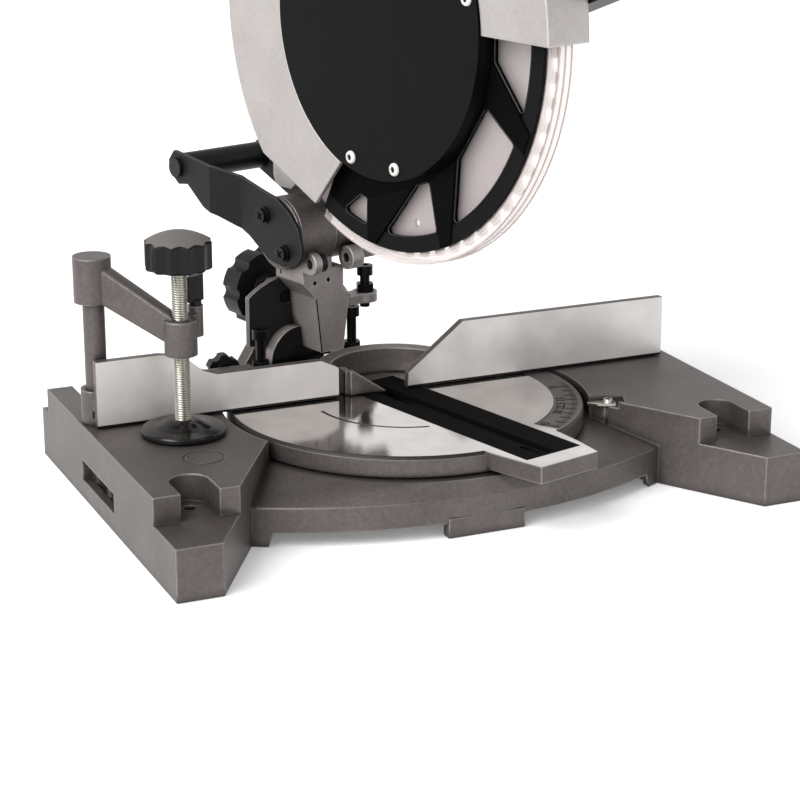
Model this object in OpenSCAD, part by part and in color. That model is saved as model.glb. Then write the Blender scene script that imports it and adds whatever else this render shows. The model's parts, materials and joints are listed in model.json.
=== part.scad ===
// Compound mitre saw with a 350 mm blade, modelled in millimetres.
// X runs along the fence to the right, Y to the rear, Z up from the bench.
// The origin is on the turntable axis at bench level.
// Table parts are drawn in the table frame: u across, v to the rear, z above the table top.

/* [Setting] */
// Mitre angle at rest, table turned to the right at the front
mitre_angle = 15; // [-40:1:40]

/* [Base casting] */
// Height of the table top above the bench
table_height = 58; // [54:1:75]
// Half of the width of the base
base_half_width = 244; // [236:1:280]
// Front edge of the wing tables, ahead of the axis
wing_front = 132.5; // [128:0.5:140]
// Front edge of the low shelves, ahead of the axis
shelf_front = 180; // [168:1:200]
// Drop from the table top to the shelves
shelf_drop = 20; // [16:1:26]
// Wall of the castings
cast_wall = 7; // [5:0.5:9]
// Distance of the bench bolts from the middle, along X
bolt_x = 210; // [205:1:214]
// Distance of the bench bolts from the middle, along Y
bolt_y = 109; // [100:1:116]
// Radius of a bench bolt hole
bolt_hole_r = 4.5; // [3.5:0.1:6]
// Half width of the notch over a bench bolt
notch_r = 14; // [11:0.5:16]
// Width of the middle foot under the apron
apron_foot = 60; // [40:1:80]

/* [Turntable] */
// Radius of the turntable
turn_r = 136; // [132:0.5:139]
// Thickness of the turntable
turn_thick = 15.5; // [12:0.5:18]
// Running gap under the turntable
turn_gap = 1.5; // [0.8:0.1:3]
// Width of the moat round the turntable
moat = 5; // [3:0.5:7]
// Front end of the tongue, ahead of the axis
tongue_front = 182; // [176:1:195]
// Radius where the scale band starts
scale_inner_r = 113.3; // [108:0.1:120]
// Depth of the scale band below the polished top
scale_depth = 0.8; // [0.4:0.1:1.5]
// Radius of the pivot spigot
spigot_r = 14; // [10:0.5:18]
// Front end of the throat insert, ahead of the axis
insert_front = 164.8; // [162:0.1:170]
// Left edge of the throat insert
insert_left = 22.4; // [18:0.1:26]
// Right edge of the throat insert
insert_right = 29.3; // [27:0.1:33]
// Rear end of the throat insert
insert_rear = 52; // [46:1:58]
// Thickness of the throat insert
insert_thick = 4; // [3:0.5:6]
// Width of the kerf in the insert
kerf = 14.8; // [12:0.2:18]

/* [Fence] */
// Fence face behind the axis
fence_y = 21; // [18:0.5:24]
// Thickness of the sliding fences
fence_thick = 7; // [5:0.5:9]
// Height of the low end of the left fence
left_low = 31; // [28:0.5:36]
// Height of the left fence's tall end
left_tall = 51; // [44:0.5:60]
// Height of the right fence
right_tall = 49; // [44:0.5:60]
// Inner radius of the bridge behind the blade
bridge_r = 48; // [46:0.5:52]
// Height of the fixed fence casting
rail_height = 20; // [17:0.5:24]
// Outward travel of a sliding fence
fence_travel = 40; // [20:1:45]

/* [Clamp] */
// Position of the clamp screw along X
clamp_x = -181; // [-186:1:-178]
// Position of the clamp screw along Y
clamp_y = -11; // [-20:1:-11]
// Radius of the clamp screw
clamp_rod_r = 6; // [4:0.25:8]
// Radius of the clamp foot
clamp_foot_r = 31; // [24:0.5:31.5]
// Radius of the clamp knob
clamp_knob_r = 25; // [18:0.5:28]
// Height of the clamp knob's underside above the table
clamp_knob_z = 124; // [116:1:130]
// Height of the clamp knob without its crown
clamp_knob_tall = 21; // [18:0.5:28]

/* [Bevel column] */
// Front face of the column, in from the turntable's rim
column_inset = 24; // [20:0.5:26]
// Depth of the column from front to rear
column_deep = 36; // [30:0.5:37]
// Radius of the bevel hub
bevel_hub_r = 26; // [22:0.5:28]
// Radius of the bevel pivot pin
bevel_pin_r = 9; // [7:0.5:12]
// Radius from the bevel axis to the lock stud
stud_arc_r = 50; // [46:0.2:54]
// Outer radius of the bevel plate
bevel_plate_r = 67; // [65:0.5:72]
// Radius of the bevel lock stud
stud_r = 5; // [4:0.25:6]
// Radius of the bevel lock knob over its lobes
bevel_knob_r = 31; // [24:0.5:33]

/* [Head hinge] */
// Hinge axis, in from the turntable's rim
hinge_inset = 2; // [0:0.5:4]
// Hinge axis above the table top
hinge_z = 106.7; // [104:0.1:110]
// Radius of the hinge barrel
barrel_r = 29.2; // [26:0.2:31]
// Left end of the hinge barrel, from the blade plane
barrel_left = 18; // [15:0.5:20]
// Length of the hinge barrel
barrel_long = 33.6; // [30:0.2:35]
// Radius of the hinge shaft
shaft_r = 12; // [9:0.5:14]
// Radial running clearance of the shafts and pins
run_fit = 0.05; // [0.02:0.01:0.1]

/* [Carry handle] */
// Thickness of the handle plates
plate_thick = 3; // [2:0.25:4]
// Grip behind the hinge axis
grip_reach = 116; // [106:1:131]
// Grip above the hinge axis
grip_rise = 36.3; // [31:0.1:43]
// Radius of the grip
grip_r = 11; // [8:0.5:13]

/* [Blade and guards] */
// Diameter of the blade
blade_d = 350; // [320:5:352]
// Number of teeth
blade_teeth = 60; // [40:4:84]
// Thickness of the blade
blade_thick = 3; // [2.2:0.1:3.4]
// Radius of the blade bore
bore_r = 15; // [10:0.5:16]
// Blade axis behind the turntable axis
blade_v = 10; // [6:0.5:12]
// Blade axis above the table top
blade_z = 287; // [285:0.5:290]
// Gap from the blade tips to the lower guard
tip_gap = 2.6; // [2:0.1:4]
// Wall of the clear lower guard
shell_wall = 2.4; // [1.5:0.1:3]
// Wall of the upper guard
guard_wall = 3.5; // [2.5:0.1:5]
// Gap between the lower and the upper guard
guard_gap = 2; // [1:0.1:3]
// Inner radius of the black guard ring
ring_inner_r = 158; // [150:0.5:162]
// Outer radius of the black guard ring
ring_outer_r = 170; // [166:0.5:176]
// Radius of the black hub cover
hub_cover_r = 116; // [110:0.5:120]

/* [Motor and handle] */
// Radius of the motor housing
motor_r = 46; // [40:0.5:52]
// Length of the motor housing
motor_long = 120; // [100:1:150]
// Width of the main handle
handle_wide = 30; // [24:0.5:36]

/* [Hidden] */
$fn = 48;
eps = 0.01;

// Table and base levels, measured from the table top
bench = -table_height;
ledge = -turn_thick - turn_gap;
moat_r = turn_r + moat;
drum_r = moat_r + 1;
drum_floor = ledge - 23;
floor_thick = 7.5;
yoke_sweep_r = turn_r + 31;
yoke_sweep_y = 46;
drum_rim = 0.5;
pocket_r = turn_r - 24;
crease = ledge - 12;
apron_low = bench + 10.5;
apron_front = drum_r + 3.5;
apron_arc = 340;
apron_half = 166;
wing_corner_x = 133;
wing_corner_y = 54;
wing_slope = 0.6156;
wing_knee_x = wing_corner_x + (wing_front - wing_corner_y) * wing_slope;
shelf_knee_x = wing_corner_x + (shelf_front - wing_corner_y) * wing_slope;
rear_shelf = wing_front + 17;
rear_knee_x = wing_corner_x + (rear_shelf - wing_corner_y) * wing_slope;
pointer_angle = -24;
pointer_z = -5;
pointer_screw_at = 14;
clamp_post_r = 8;
clamp_post_x = -230;
clamp_post_y = 41;
clamp_arm_z = 60;
clamp_arm_top = 86;
clamp_lug_x = clamp_x + 17;
clamp_lug_y = clamp_y + 16;
clamp_boss_r = 12;
clamp_seat = 4;
clamp_crown = 6.5;
clamp_grip = 15;
mark_x = -185;
mark_y = -67.5;
mark_r = 15;
mark_wide = 1.6;
mark_deep = 0.6;
groove_r = 69.8;
groove_wide = 2.8;
groove_deep = 1.2;
toe_in = 148;
toe_slope = 5;
clamp_lug_top = 91;

// Turntable underside and bevel yoke
seat_gap = 0.3;
insert_gap = 0.2;
trough_floor = -turn_thick - 9;
box_floor = trough_floor - 5;
box_left = 15;
box_right = 31;
box_front = 104;
box_rear = 62;
trough_left = 9;
trough_right = 25;
tongue_thick = 13;
yoke_inner = 32;
yoke_left = 47;
yoke_right = 57;
yoke_outer = 42;
yoke_drop = 42;
hub_v = moat_r - 3.5;
column_front = turn_r - column_inset;
plate_v = column_front + column_deep;
bevel_plate_thick = 5;
yoke_v = plate_v + bevel_plate_thick + 3;
yoke_thick = 12;
stud_lean = 3;
stud_gap = 0.4;
slot_over = 2;
bevel_reach = 32;
stud_u = -stud_arc_r * sin(stud_lean);
stud_z = stud_arc_r * cos(stud_lean);
stop_v = turn_r - 4;
stop_head_r = 6.5;
stop_head = 8;
stops = [[-40.8, 32.6], [50.2, 36]];
ear_v = column_front + 13;

// Fence levels
fence_lift = 0.8;
rail_gap = 0.4;
rail_y = fence_y + fence_thick + rail_gap;
rail_thick = 17;
knob_y = rail_y + rail_thick + 0.4;
bridge_wall = 11;
bridge_y = 23;
left_end = 45.8;
left_in = 6;
lock_wall = 8;
right_end = 11.8;
fence_far = 236;
knob_left_x = 128;
knob_right_x = 200;
lock_z = 24;
lock_r = 3;
lock_slot = 0.4;
lock_knob_r = 12.5;
lock_pad = 7;
key_low = 6;
key_high = 11;
key_deep = 3;
key_gap = 0.3;
fence_bolt_x = [165, 208];
fence_bolt_r = 3.2;
fence_head_r = 5.2;
bolt_inset = 9;

// Column section across the saw
neck_left = 0;
neck_right = 33;
neck_top = 54.5;
block_left = 13;
block_right = 27;
block_low = 68.5;
block_top = 84;
block_step = 78;
lug_v = column_front - 9;
lug_z = 86.5;
lug_r = 8.7;
lug_thick = 6.6;
boss_left = 23;
boss_r = 9.5;
boss_long = 11;
ear_u = 58.7;
ear_r = 10;
ear_low = 41;
ear_thick = 8;
depth_screw_r = 4;

// Head hinge and carry handle
hinge_v = turn_r - hinge_inset;
grip_v = hinge_v + grip_reach;
grip_z = hinge_z + grip_rise;
flange_thick = 2.5;
plate_front_u = -barrel_left - flange_thick;
plate_rear_u = plate_front_u - 13;
plate_screw_r = 2.5;
plate_screw_at = 13;
plate_head_r = 5.8;
plate_washer_r = 6.8;

// Head across the saw
barrel_right = barrel_long - barrel_left;
head_gap = 0.5;
arm_hub_left = barrel_right + head_gap;
arm_hub_right = 46.5;
arm_left = 35.5;
arm_right = 60;
arm_hub_r = 26;
finger_right = 66;
chop_reach = 42;
depth_top = 70.5;
stop_touch = 0.4;
stop_drop = hinge_z - depth_top - stop_touch;
right_plate_u = arm_hub_right + head_gap;
blade_r = blade_d / 2;
shell_in_r = blade_r + tip_gap;
shell_out_r = shell_in_r + shell_wall;
cover_in_r = shell_out_r + guard_gap;
cover_out_r = cover_in_r + guard_wall;
frame_u = -9.5;
frame_thick = 3;
shell_left = frame_u + frame_thick;
shell_right = 11;
cover_left = -20;
cover_right = 14;
hub_left = -21;
hub_skirt = 3;
hub_screw_r = 107;
hub_screws = [for (k = [0:2]) for (a = [-75, -103]) a + 120 * k];
gear_left = cover_right + guard_wall;
gear_r = 48;
nose_r = 42;
nose_left = shell_right - 4.5;
nose_wall = 6;
spindle_r = 11;
motor_v = 40;
motor_z = 333;
motor_left = 62;
chute_left = -4;
chute_right = 14;
chute_rear = 162;
chute_low = 139.5;
handle_gap = 2.5;
handle_u = gear_left + handle_gap;
loop_r = 165;
loop_angle = 150;
lock_a = 46;
lock_b = 28;
button_r = 6;
spindle_lock_r = 7;
spindle_lock_down = 28;
guard_from = 165;
guard_to = 297;
// Windows of the guard frame: inner radius, two angles there, two angles at the ring
windows = [[137, 279.5, 283, 278.5, 289.5], [121, 245.5, 253, 248, 270.5], [121, 203, 227.5, 206, 240.5],
  [121, 172, 187, 172, 198]];
window_round = 3;
// Corners of one tooth: share of its pitch, and depth below the tip circle
tooth_share = [0, 0.3, 0.42, 0.78];
tooth_deep = [0, 1, 8, 7];

module table() {
  translate([0, 0, table_height]) children();
}

module turned() {
  rotate([0, 0, mitre_angle]) table() children();
}

// Profile in v and z, extruded along u
module side(u, wide) {
  translate([u, 0, 0]) rotate([90, 0, 90]) linear_extrude(wide) children();
}

// Profile in u and z, extruded along v
module front(v, deep) {
  translate([0, v + deep, 0]) rotate([90, 0, 0]) linear_extrude(deep) children();
}

module rod_u(u, long, r, v, z) {
  translate([u, v, z]) rotate([0, 90, 0]) cylinder(h = long, r = r);
}

module rod_v(v, long, r, u, z) {
  translate([u, v, z]) rotate([-90, 0, 0]) cylinder(h = long, r = r);
}

module box(low, high) {
  translate(low) cube(high - low);
}

module sector(r, from, to) {
  steps = 16;
  polygon(concat([[0, 0]], [for (i = [0:steps]) r * [cos(from + (to - from) * i / steps),
    sin(from + (to - from) * i / steps)]]));
}

// A round grip with hollows between its lobes
module lobes(r, hollows, depth) {
  difference() {
    circle(r);
    for (i = [0:hollows - 1]) rotate(i * 360 / hollows) translate([r + depth, 0]) circle(depth * 2, $fn = 24);
  }
}

// Left wing seen from above; the right wing is its mirror image
module wing_plan() {
  polygon([[-base_half_width, -wing_front], [-wing_knee_x, -wing_front], [-wing_corner_x, -wing_corner_y],
    [-drum_r + 42, -wing_corner_y + 20], [-drum_r + 42, wing_corner_y - 20], [-wing_corner_x, wing_corner_y],
    [-wing_knee_x, wing_front], [-base_half_width, wing_front]]);
}

// Left leg seen from above: the wing and the low shelves before and behind it
module leg_plan() {
  polygon([[-base_half_width, -shelf_front], [-shelf_knee_x, -shelf_front], [-wing_corner_x, -wing_corner_y],
    [-drum_r + 42, -wing_corner_y + 20], [-drum_r + 42, wing_corner_y - 20], [-wing_corner_x, wing_corner_y],
    [-rear_knee_x, rear_shelf], [-base_half_width, rear_shelf]]);
}

module notch_plan() {
  translate([-bolt_x, -bolt_y]) circle(notch_r);
  translate([-bolt_x - notch_r, -wing_front - 1]) square([2 * notch_r, wing_front + 1 - bolt_y]);
}

// What stays solid under the wing: the ring wall, a rib, and bosses for bolts and post
module solid_plan() {
  circle(moat_r + cast_wall, $fn = 96);
  translate([-base_half_width, -cast_wall / 2]) square([base_half_width, cast_wall]);
  for (s = [-1, 1]) translate([-bolt_x, s * bolt_y]) circle(notch_r);
  for (x = fence_bolt_x) translate([-x, rail_y + bolt_inset]) circle(8);
  translate([clamp_post_x, clamp_post_y]) circle(clamp_post_r + 5);
  rotate(180 - pointer_angle) translate([moat_r + pointer_screw_at, 0]) circle(16);
}

module wing() {
  difference() {
    union() {
      table() translate([0, 0, -shelf_drop - eps]) linear_extrude(shelf_drop + eps) wing_plan();
      linear_extrude(table_height - shelf_drop) leg_plan();
    }
    // Hollow underside, lower under the shelves and higher under the wing
    translate([0, 0, -1]) linear_extrude(table_height - shelf_drop - cast_wall + 1) difference() {
      offset(delta = -cast_wall) leg_plan();
      solid_plan();
    }
    translate([0, 0, -1]) linear_extrude(table_height - cast_wall + 1) difference() {
      offset(delta = -cast_wall) wing_plan();
      solid_plan();
      offset(delta = cast_wall) notch_plan();
      offset(delta = cast_wall) mirror([0, 1]) notch_plan();
    }
    // Notches that open to the front and to the rear, with the bench bolt holes in their floors
    table() translate([0, 0, -shelf_drop]) linear_extrude(shelf_drop + 1) {
      notch_plan();
      mirror([0, 1]) notch_plan();
    }
    for (s = [-1, 1]) translate([-bolt_x, s * bolt_y, -1]) cylinder(h = table_height, r = bolt_hole_r);
    // Hand hold in the outer wall
    translate([-base_half_width - 1, -40, 14]) cube([cast_wall + 2, 80, 16]);
  }
}

module apron_plan(inset) {
  intersection() {
    translate([0, apron_arc - apron_front]) circle(apron_arc - inset, $fn = 96);
    translate([-apron_half + inset, -apron_front - 1])
      square([2 * (apron_half - inset), apron_front - wing_corner_y + 21]);
  }
}

module base() color("Silver") difference() {
  union() {
    wing();
    mirror([1, 0, 0]) wing();
    table() translate([0, 0, drum_floor - floor_thick])
      cylinder(h = ledge - drum_floor + floor_thick, r = drum_r, $fn = 96);
    // Apron with a sloped shoulder above its crease
    table() hull() {
      translate([0, 0, ledge - 0.2]) cylinder(h = 0.2, r = drum_r, $fn = 96);
      translate([0, 0, crease - 0.2]) linear_extrude(0.2) apron_plan(0);
    }
    table() translate([0, 0, apron_low]) linear_extrude(crease - apron_low) difference() {
      apron_plan(0);
      circle(drum_r - 6, $fn = 96);
    }
    translate([-apron_foot / 2, -apron_front, 0]) cube([apron_foot, 9, table_height + apron_low + 4]);
    // Sloped toes under the two ends of the apron
    for (s = [0, 1]) mirror([s, 0, 0]) intersection() {
      linear_extrude(table_height + apron_low + 4) difference() {
        apron_plan(0);
        apron_plan(cast_wall);
      }
      front(-apron_front, apron_front) polygon([[-apron_half, 0], [-toe_in - toe_slope, 0],
        [-toe_in, table_height + apron_low + 4], [-apron_half, table_height + apron_low + 4]]);
    }
  }
  // The apron is hollow below, between its ribs
  table() translate([0, 0, apron_low - 1]) linear_extrude(crease - apron_low - 4) difference() {
    apron_plan(cast_wall);
    circle(drum_r, $fn = 96);
    for (s = [-1, 1]) translate([s * (apron_foot / 2 + 8) - 3, -apron_front]) square([6, apron_front]);
  }
  // Room at the rear for the bevel yoke to swing with the turntable
  intersection() {
    difference() {
      cylinder(h = 3 * table_height, r = yoke_sweep_r, center = true, $fn = 96);
      cylinder(h = 4 * table_height, r = turn_r + drum_rim, center = true, $fn = 96);
    }
    translate([-base_half_width, yoke_sweep_y, table_height - yoke_drop - 4])
      cube([2 * base_half_width, 2 * yoke_sweep_r, 3 * table_height]);
  }
  // Seat and moat of the turntable
  table() translate([0, 0, ledge]) cylinder(h = 60, r = moat_r, $fn = 96);
  table() translate([0, 0, drum_floor]) difference() {
    cylinder(h = 60, r = pocket_r, $fn = 96);
    cylinder(h = box_floor - seat_gap - drum_floor, r = spigot_r + 12);
  }
  // Under the drum the casting is open
  translate([0, 0, -1])
    cylinder(h = table_height + drum_floor - floor_thick + 1, r = drum_r - cast_wall, $fn = 96);
  table() translate([0, 0, -table_height]) cylinder(h = table_height, r = spigot_r + run_fit);
  // Seats of the mitre pointer and its screw
  rotate([0, 0, pointer_angle]) table() {
    box([moat_r - 20, -8, pointer_z], [moat_r + 26, 8, 10]);
    translate([moat_r + pointer_screw_at, 0, -20]) cylinder(h = 20, r = 2.5, $fn = 24);
  }
  // Seats of the fence bolts and the clamp post
  for (x = fence_bolt_x, s = [-1, 1]) table() translate([s * x, rail_y + bolt_inset, -30])
    cylinder(h = 40, r = fence_bolt_r, $fn = 24);
  table() translate([clamp_post_x, clamp_post_y, -30]) cylinder(h = 40, r = clamp_post_r + run_fit);
  // Plain round mark sunk into the left wing
  table() translate([mark_x, mark_y, -mark_deep]) difference() {
    cylinder(h = 2 * mark_deep, r = mark_r);
    cylinder(h = 4 * mark_deep, r = mark_r - mark_wide);
  }
}

// Fixed fence: two rails, the round bridge behind the blade and the low tip beside the kerf
module fence_casting() color("Gainsboro") table() difference() {
  union() {
    for (s = [-1, 1]) {
      from = s < 0 ? -fence_far : bridge_r - 2;
      to = s < 0 ? -bridge_r + 2 : fence_far;
      box([from, rail_y, fence_lift], [to, rail_y + rail_thick, rail_height]);
      far_from = s < 0 ? -fence_far : moat_r + 4;
      far_to = s < 0 ? -moat_r - 4 : fence_far;
      box([far_from, rail_y, 0], [far_to, rail_y + rail_thick, rail_height]);
    }
    translate([0, 0, fence_lift]) linear_extrude(rail_height - fence_lift) difference() {
      translate([0, bridge_y]) circle(bridge_r + bridge_wall, $fn = 72);
      translate([0, bridge_y]) circle(bridge_r, $fn = 72);
      translate([-100, -100]) square([200, 100 + rail_y]);
    }
    // Low sloped tip left of the kerf
    front(fence_y, 6) polygon([[-36, fence_lift], [-6.3, fence_lift], [-33, 19.3], [-36, 19.3]]);
    box([-left_end + 0.8 + left_in, fence_y + 3, fence_lift], [-35, rail_y + 8, 19.3]);
    box([-bridge_r - 4, rail_y, fence_lift], [-35, rail_y + 8, 17]);
    // Boss for the clamp post, and taller pads that the fences are locked against
    translate([clamp_post_x, clamp_post_y, 0]) cylinder(h = rail_height + 6, r = clamp_post_r + 4);
    box([-knob_left_x - fence_travel - 10, rail_y, fence_lift],
      [-knob_left_x + 16, rail_y + lock_wall, lock_z + lock_pad]);
    box([knob_right_x - 10, rail_y, fence_lift], [fence_far, rail_y + lock_wall, lock_z + lock_pad]);
  }
  // Seats of the bolts and the post, the slots of the lock studs and the grooves of the fence keys
  translate([clamp_post_x, clamp_post_y, -1]) cylinder(h = 60, r = clamp_post_r + run_fit);
  for (x = fence_bolt_x, s = [-1, 1]) translate([s * x, rail_y + bolt_inset, 0]) {
    translate([0, 0, -1]) cylinder(h = 60, r = fence_bolt_r, $fn = 24);
    translate([0, 0, rail_height - 7]) cylinder(h = 30, r = fence_head_r, $fn = 24);
  }
  front(rail_y - 1, rail_thick + 2) {
    lock_slot_plan(-knob_left_x - fence_travel - 1, -knob_left_x + left_in + 1);
    lock_slot_plan(knob_right_x - 1, knob_right_x + fence_travel + 1);
  }
  for (s = [-1, 1]) translate([s * (bridge_r + fence_far + 16) / 2, 0, 0])
    box([-100, rail_y - 1, key_low - key_gap], [100, rail_y - rail_gap + key_deep + key_gap, key_high + key_gap]);
}

module lock_slot_plan(from, to) {
  for (x = [from, to]) translate([x, lock_z]) circle(lock_r + lock_slot);
  translate([from, lock_z - lock_r - lock_slot]) square([to - from, 2 * (lock_r + lock_slot)]);
}

module fence_bolts() color("DimGray") table() for (x = fence_bolt_x, s = [-1, 1])
  translate([s * x, rail_y + bolt_inset, 0]) {
    translate([0, 0, -18]) cylinder(h = rail_height + 11.1, r = fence_bolt_r - run_fit, $fn = 24);
    translate([0, 0, rail_height - 7]) difference() {
      cylinder(h = 6, r = fence_head_r - run_fit, $fn = 24);
      translate([0, 0, 2.5]) cylinder(h = 5, r = 2.5, $fn = 6);
    }
  }

// Left sliding fence: low beside the blade, tall at its far end
module left_fence() color("LightGray") table() {
  front(fence_y, fence_thick) polygon([[-left_end, fence_lift], [-left_end, left_low - 7],
    [-left_end - 14, left_low], [-143, left_low], [-154, left_low + 4], [-166, left_tall - 6],
    [-178, left_tall - 1.5], [-187, left_tall], [-fence_far, left_tall], [-fence_far, fence_lift]]);
  // Key that slides in the rail, and the stud that carries the lock knob
  box([-fence_far + 4, fence_y + fence_thick - eps, key_low],
    [-left_end - 20, fence_y + fence_thick + key_deep, key_high]);
  rod_v(fence_y + 2, knob_y + 9 - fence_y - 2, lock_r, -knob_left_x, lock_z);
}

module left_fence_knob() color("Black") table() lock_knob(-knob_left_x);

// Lobed lock knob behind the rail
module lock_knob(x) {
  difference() {
    translate([x, knob_y, lock_z]) rotate([-90, 0, 0]) {
      cylinder(h = 4, r = lock_r + 4);
      translate([0, 0, 2]) linear_extrude(9) lobes(lock_knob_r, 6, 2.2);
    }
    rod_v(rail_y, knob_y + 9.5 - rail_y, lock_r + run_fit, x, lock_z);
  }
}

// Right sliding fence with a sloped end beside the blade
module right_fence() color("LightGray") table() {
  front(fence_y, fence_thick) polygon([[right_end, fence_lift], [right_end + 0.8, 12.6], [58.4, right_tall],
    [fence_far, right_tall], [fence_far, fence_lift]]);
  box([bridge_r + 30, fence_y + fence_thick - eps, key_low],
    [fence_far - 4, fence_y + fence_thick + key_deep, key_high]);
  rod_v(fence_y + 2, knob_y + 9 - fence_y - 2, lock_r, knob_right_x, lock_z);
}

module right_fence_knob() color("Black") table() lock_knob(knob_right_x);

module mitre_pointer() color("Crimson") rotate([0, 0, pointer_angle]) table() difference() {
  translate([0, 0, pointer_z]) linear_extrude(2) polygon([[moat_r - 2, 0], [moat_r + 6, 4], [moat_r + 20, 4],
    [moat_r + 20, -4], [moat_r + 6, -4]]);
  translate([moat_r + pointer_screw_at, 0, pointer_z - 1]) cylinder(h = 4, r = 2.5, $fn = 24);
}

module pointer_screw() color("Silver") rotate([0, 0, pointer_angle]) table()
  translate([moat_r + pointer_screw_at, 0, pointer_z]) {
    translate([0, 0, -8]) cylinder(h = 10.1, r = 2.5 - run_fit, $fn = 24);
    translate([0, 0, 2]) cylinder(h = 3, r1 = 4.4, r2 = 3.4, $fn = 24);
  }

// Clamp: post in the base, arm and boss for the screw
module clamp_arm() color("DarkGray") table() difference() {
  union() {
    translate([clamp_post_x, clamp_post_y, -28]) cylinder(h = 150, r = clamp_post_r);
    translate([clamp_x, clamp_y, clamp_arm_z]) cylinder(h = clamp_arm_top - clamp_arm_z, r = clamp_boss_r);
    translate([clamp_post_x, clamp_post_y, 92]) cylinder(h = 34, r = 14);
    // Lug of the thumbscrew beside the boss
    translate([clamp_lug_x, clamp_lug_y, clamp_arm_z + 8])
      cylinder(h = clamp_lug_top - clamp_arm_z - 8, r = 5.5);
    hull() for (p = [[clamp_x, clamp_y], [clamp_lug_x, clamp_lug_y]]) translate([p[0], p[1], clamp_arm_z + 8])
      cylinder(h = clamp_arm_top - clamp_arm_z - 8, r = 4, $fn = 24);
    hull() {
      translate([clamp_x, clamp_y, clamp_arm_z + 6]) cylinder(h = 18, r = 6, $fn = 24);
      translate([clamp_post_x, clamp_post_y, 98]) cylinder(h = 24, r = 7, $fn = 24);
    }
  }
  translate([clamp_x, clamp_y, 0]) cylinder(h = 150, r = clamp_rod_r + run_fit);
  translate([clamp_lug_x, clamp_lug_y, clamp_arm_z - 1]) cylinder(h = 60, r = 2.5, $fn = 24);
}

module clamp_thumbscrew() color("Black") table() translate([clamp_lug_x, clamp_lug_y, clamp_lug_top]) {
  translate([0, 0, -14]) cylinder(h = 15, r = 2.5 - run_fit, $fn = 24);
  cylinder(h = 4, r = 4.5, $fn = 32);
  translate([0, 0, 3]) linear_extrude(19) for (s = [-1, 1]) hull() {
    circle(2.6, $fn = 24);
    translate([s * 5.5, s * 2.5]) circle(1.8, $fn = 24);
  }
}

module clamp_foot() color("Black") table() translate([clamp_x, clamp_y, 0]) difference() {
  rotate_extrude($fn = 64) polygon([[0, 0.3], [clamp_foot_r - 1.5, 0.3], [clamp_foot_r, 1.5],
    [clamp_foot_r, 4], [clamp_foot_r - 1, 5], [21, 6.2], [16, 8.2], [12, 10.2], [9, 11], [0, 11]]);
  translate([0, 0, clamp_seat]) cylinder(h = 20, r = clamp_rod_r + run_fit);
}

module clamp_screw() color("DimGray") table() translate([clamp_x, clamp_y, clamp_seat + seat_gap])
  cylinder(h = clamp_knob_z + clamp_grip - clamp_seat - seat_gap, r = clamp_rod_r);

// Fluted knob with a domed crown
module clamp_knob() color("Black") table() translate([clamp_x, clamp_y, clamp_knob_z]) difference() {
  union() {
    linear_extrude(clamp_knob_tall) lobes(clamp_knob_r, 12, 1.4);
    translate([0, 0, clamp_knob_tall]) rotate_extrude() polygon(concat([[0, 0]],
      [for (a = [0:15:90]) [(clamp_knob_r - 1.4) * cos(a), clamp_crown * sin(a)]]));
  }
  translate([0, 0, -1]) cylinder(h = clamp_grip + 1, r = clamp_rod_r);
}

// Turntable: polished disc and tongue, throat trough and pivot spigot
module turntable() color("WhiteSmoke") turned() difference() {
  union() {
    rotate_extrude($fn = 96) polygon([[0, -turn_thick], [turn_r, -turn_thick], [turn_r, -2.2],
      [turn_r - 2, 0], [0, 0]]);
    translate([0, 0, -tongue_thick]) linear_extrude(tongue_thick) polygon([[-24, -tongue_front],
      [29.5, -tongue_front], [34.5, -158], [38, -127], [40, -100], [-34, -100], [-31.7, -137]]);
    box([-box_left, -box_front, box_floor], [box_right, box_rear, -turn_thick + eps]);
    translate([0, 0, ledge + seat_gap]) linear_extrude(turn_gap) difference() {
      circle(turn_r - 4, $fn = 96);
      circle(pocket_r + 4, $fn = 96);
    }
    translate([0, 0, drum_floor - floor_thick + 0.5])
      cylinder(h = box_floor - drum_floor + floor_thick, r = spigot_r);
  }
  // Seat of the insert, and the trough under it
  box([-insert_left, -insert_front, -insert_thick], [insert_right, insert_rear, 1]);
  box([-trough_left, -insert_front + 3, trough_floor], [trough_right, insert_rear - 4, 1]);
  // Scale band on the right-hand rim
  translate([0, 0, -scale_depth]) linear_extrude(5) difference() {
    sector(turn_r + 6, -72, 28);
    circle(scale_inner_r, $fn = 96);
  }
  // Round groove on the left half of the polished top
  translate([0, 0, -groove_deep]) linear_extrude(5) intersection() {
    difference() {
      circle(groove_r + groove_wide / 2, $fn = 96);
      circle(groove_r - groove_wide / 2, $fn = 96);
    }
    sector(90, 168, 246);
  }
  // Threads for the pivot bolt, the yoke and the stop screws
  translate([0, 0, drum_floor - 20]) cylinder(h = 36, r = 5, $fn = 24);
  for (p = stops) translate([p[0], stop_v, -20]) cylinder(h = 30, r = 4, $fn = 24);
}

module table_insert() color("Black") turned() difference() {
  box([-insert_left + insert_gap, -insert_front + insert_gap, -insert_thick],
    [insert_right - insert_gap, insert_rear - insert_gap, -insert_gap]);
  translate([0, 0, -20]) linear_extrude(40) {
    translate([-kerf / 2, -insert_front + 3.8]) square([kerf, insert_front + 30]);
    translate([0, 33.8]) circle(kerf / 2, $fn = 32);
  }
}

module pivot_bolt() color("DimGray") turned() translate([0, 0, drum_floor - floor_thick]) {
  translate([0, 0, -3.3]) cylinder(h = 3, r = 22);
  translate([0, 0, -9.3]) cylinder(h = 6.1, r = 9.5, $fn = 6);
  translate([0, 0, -0.4]) cylinder(h = 22, r = 5 - run_fit, $fn = 24);
}

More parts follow.
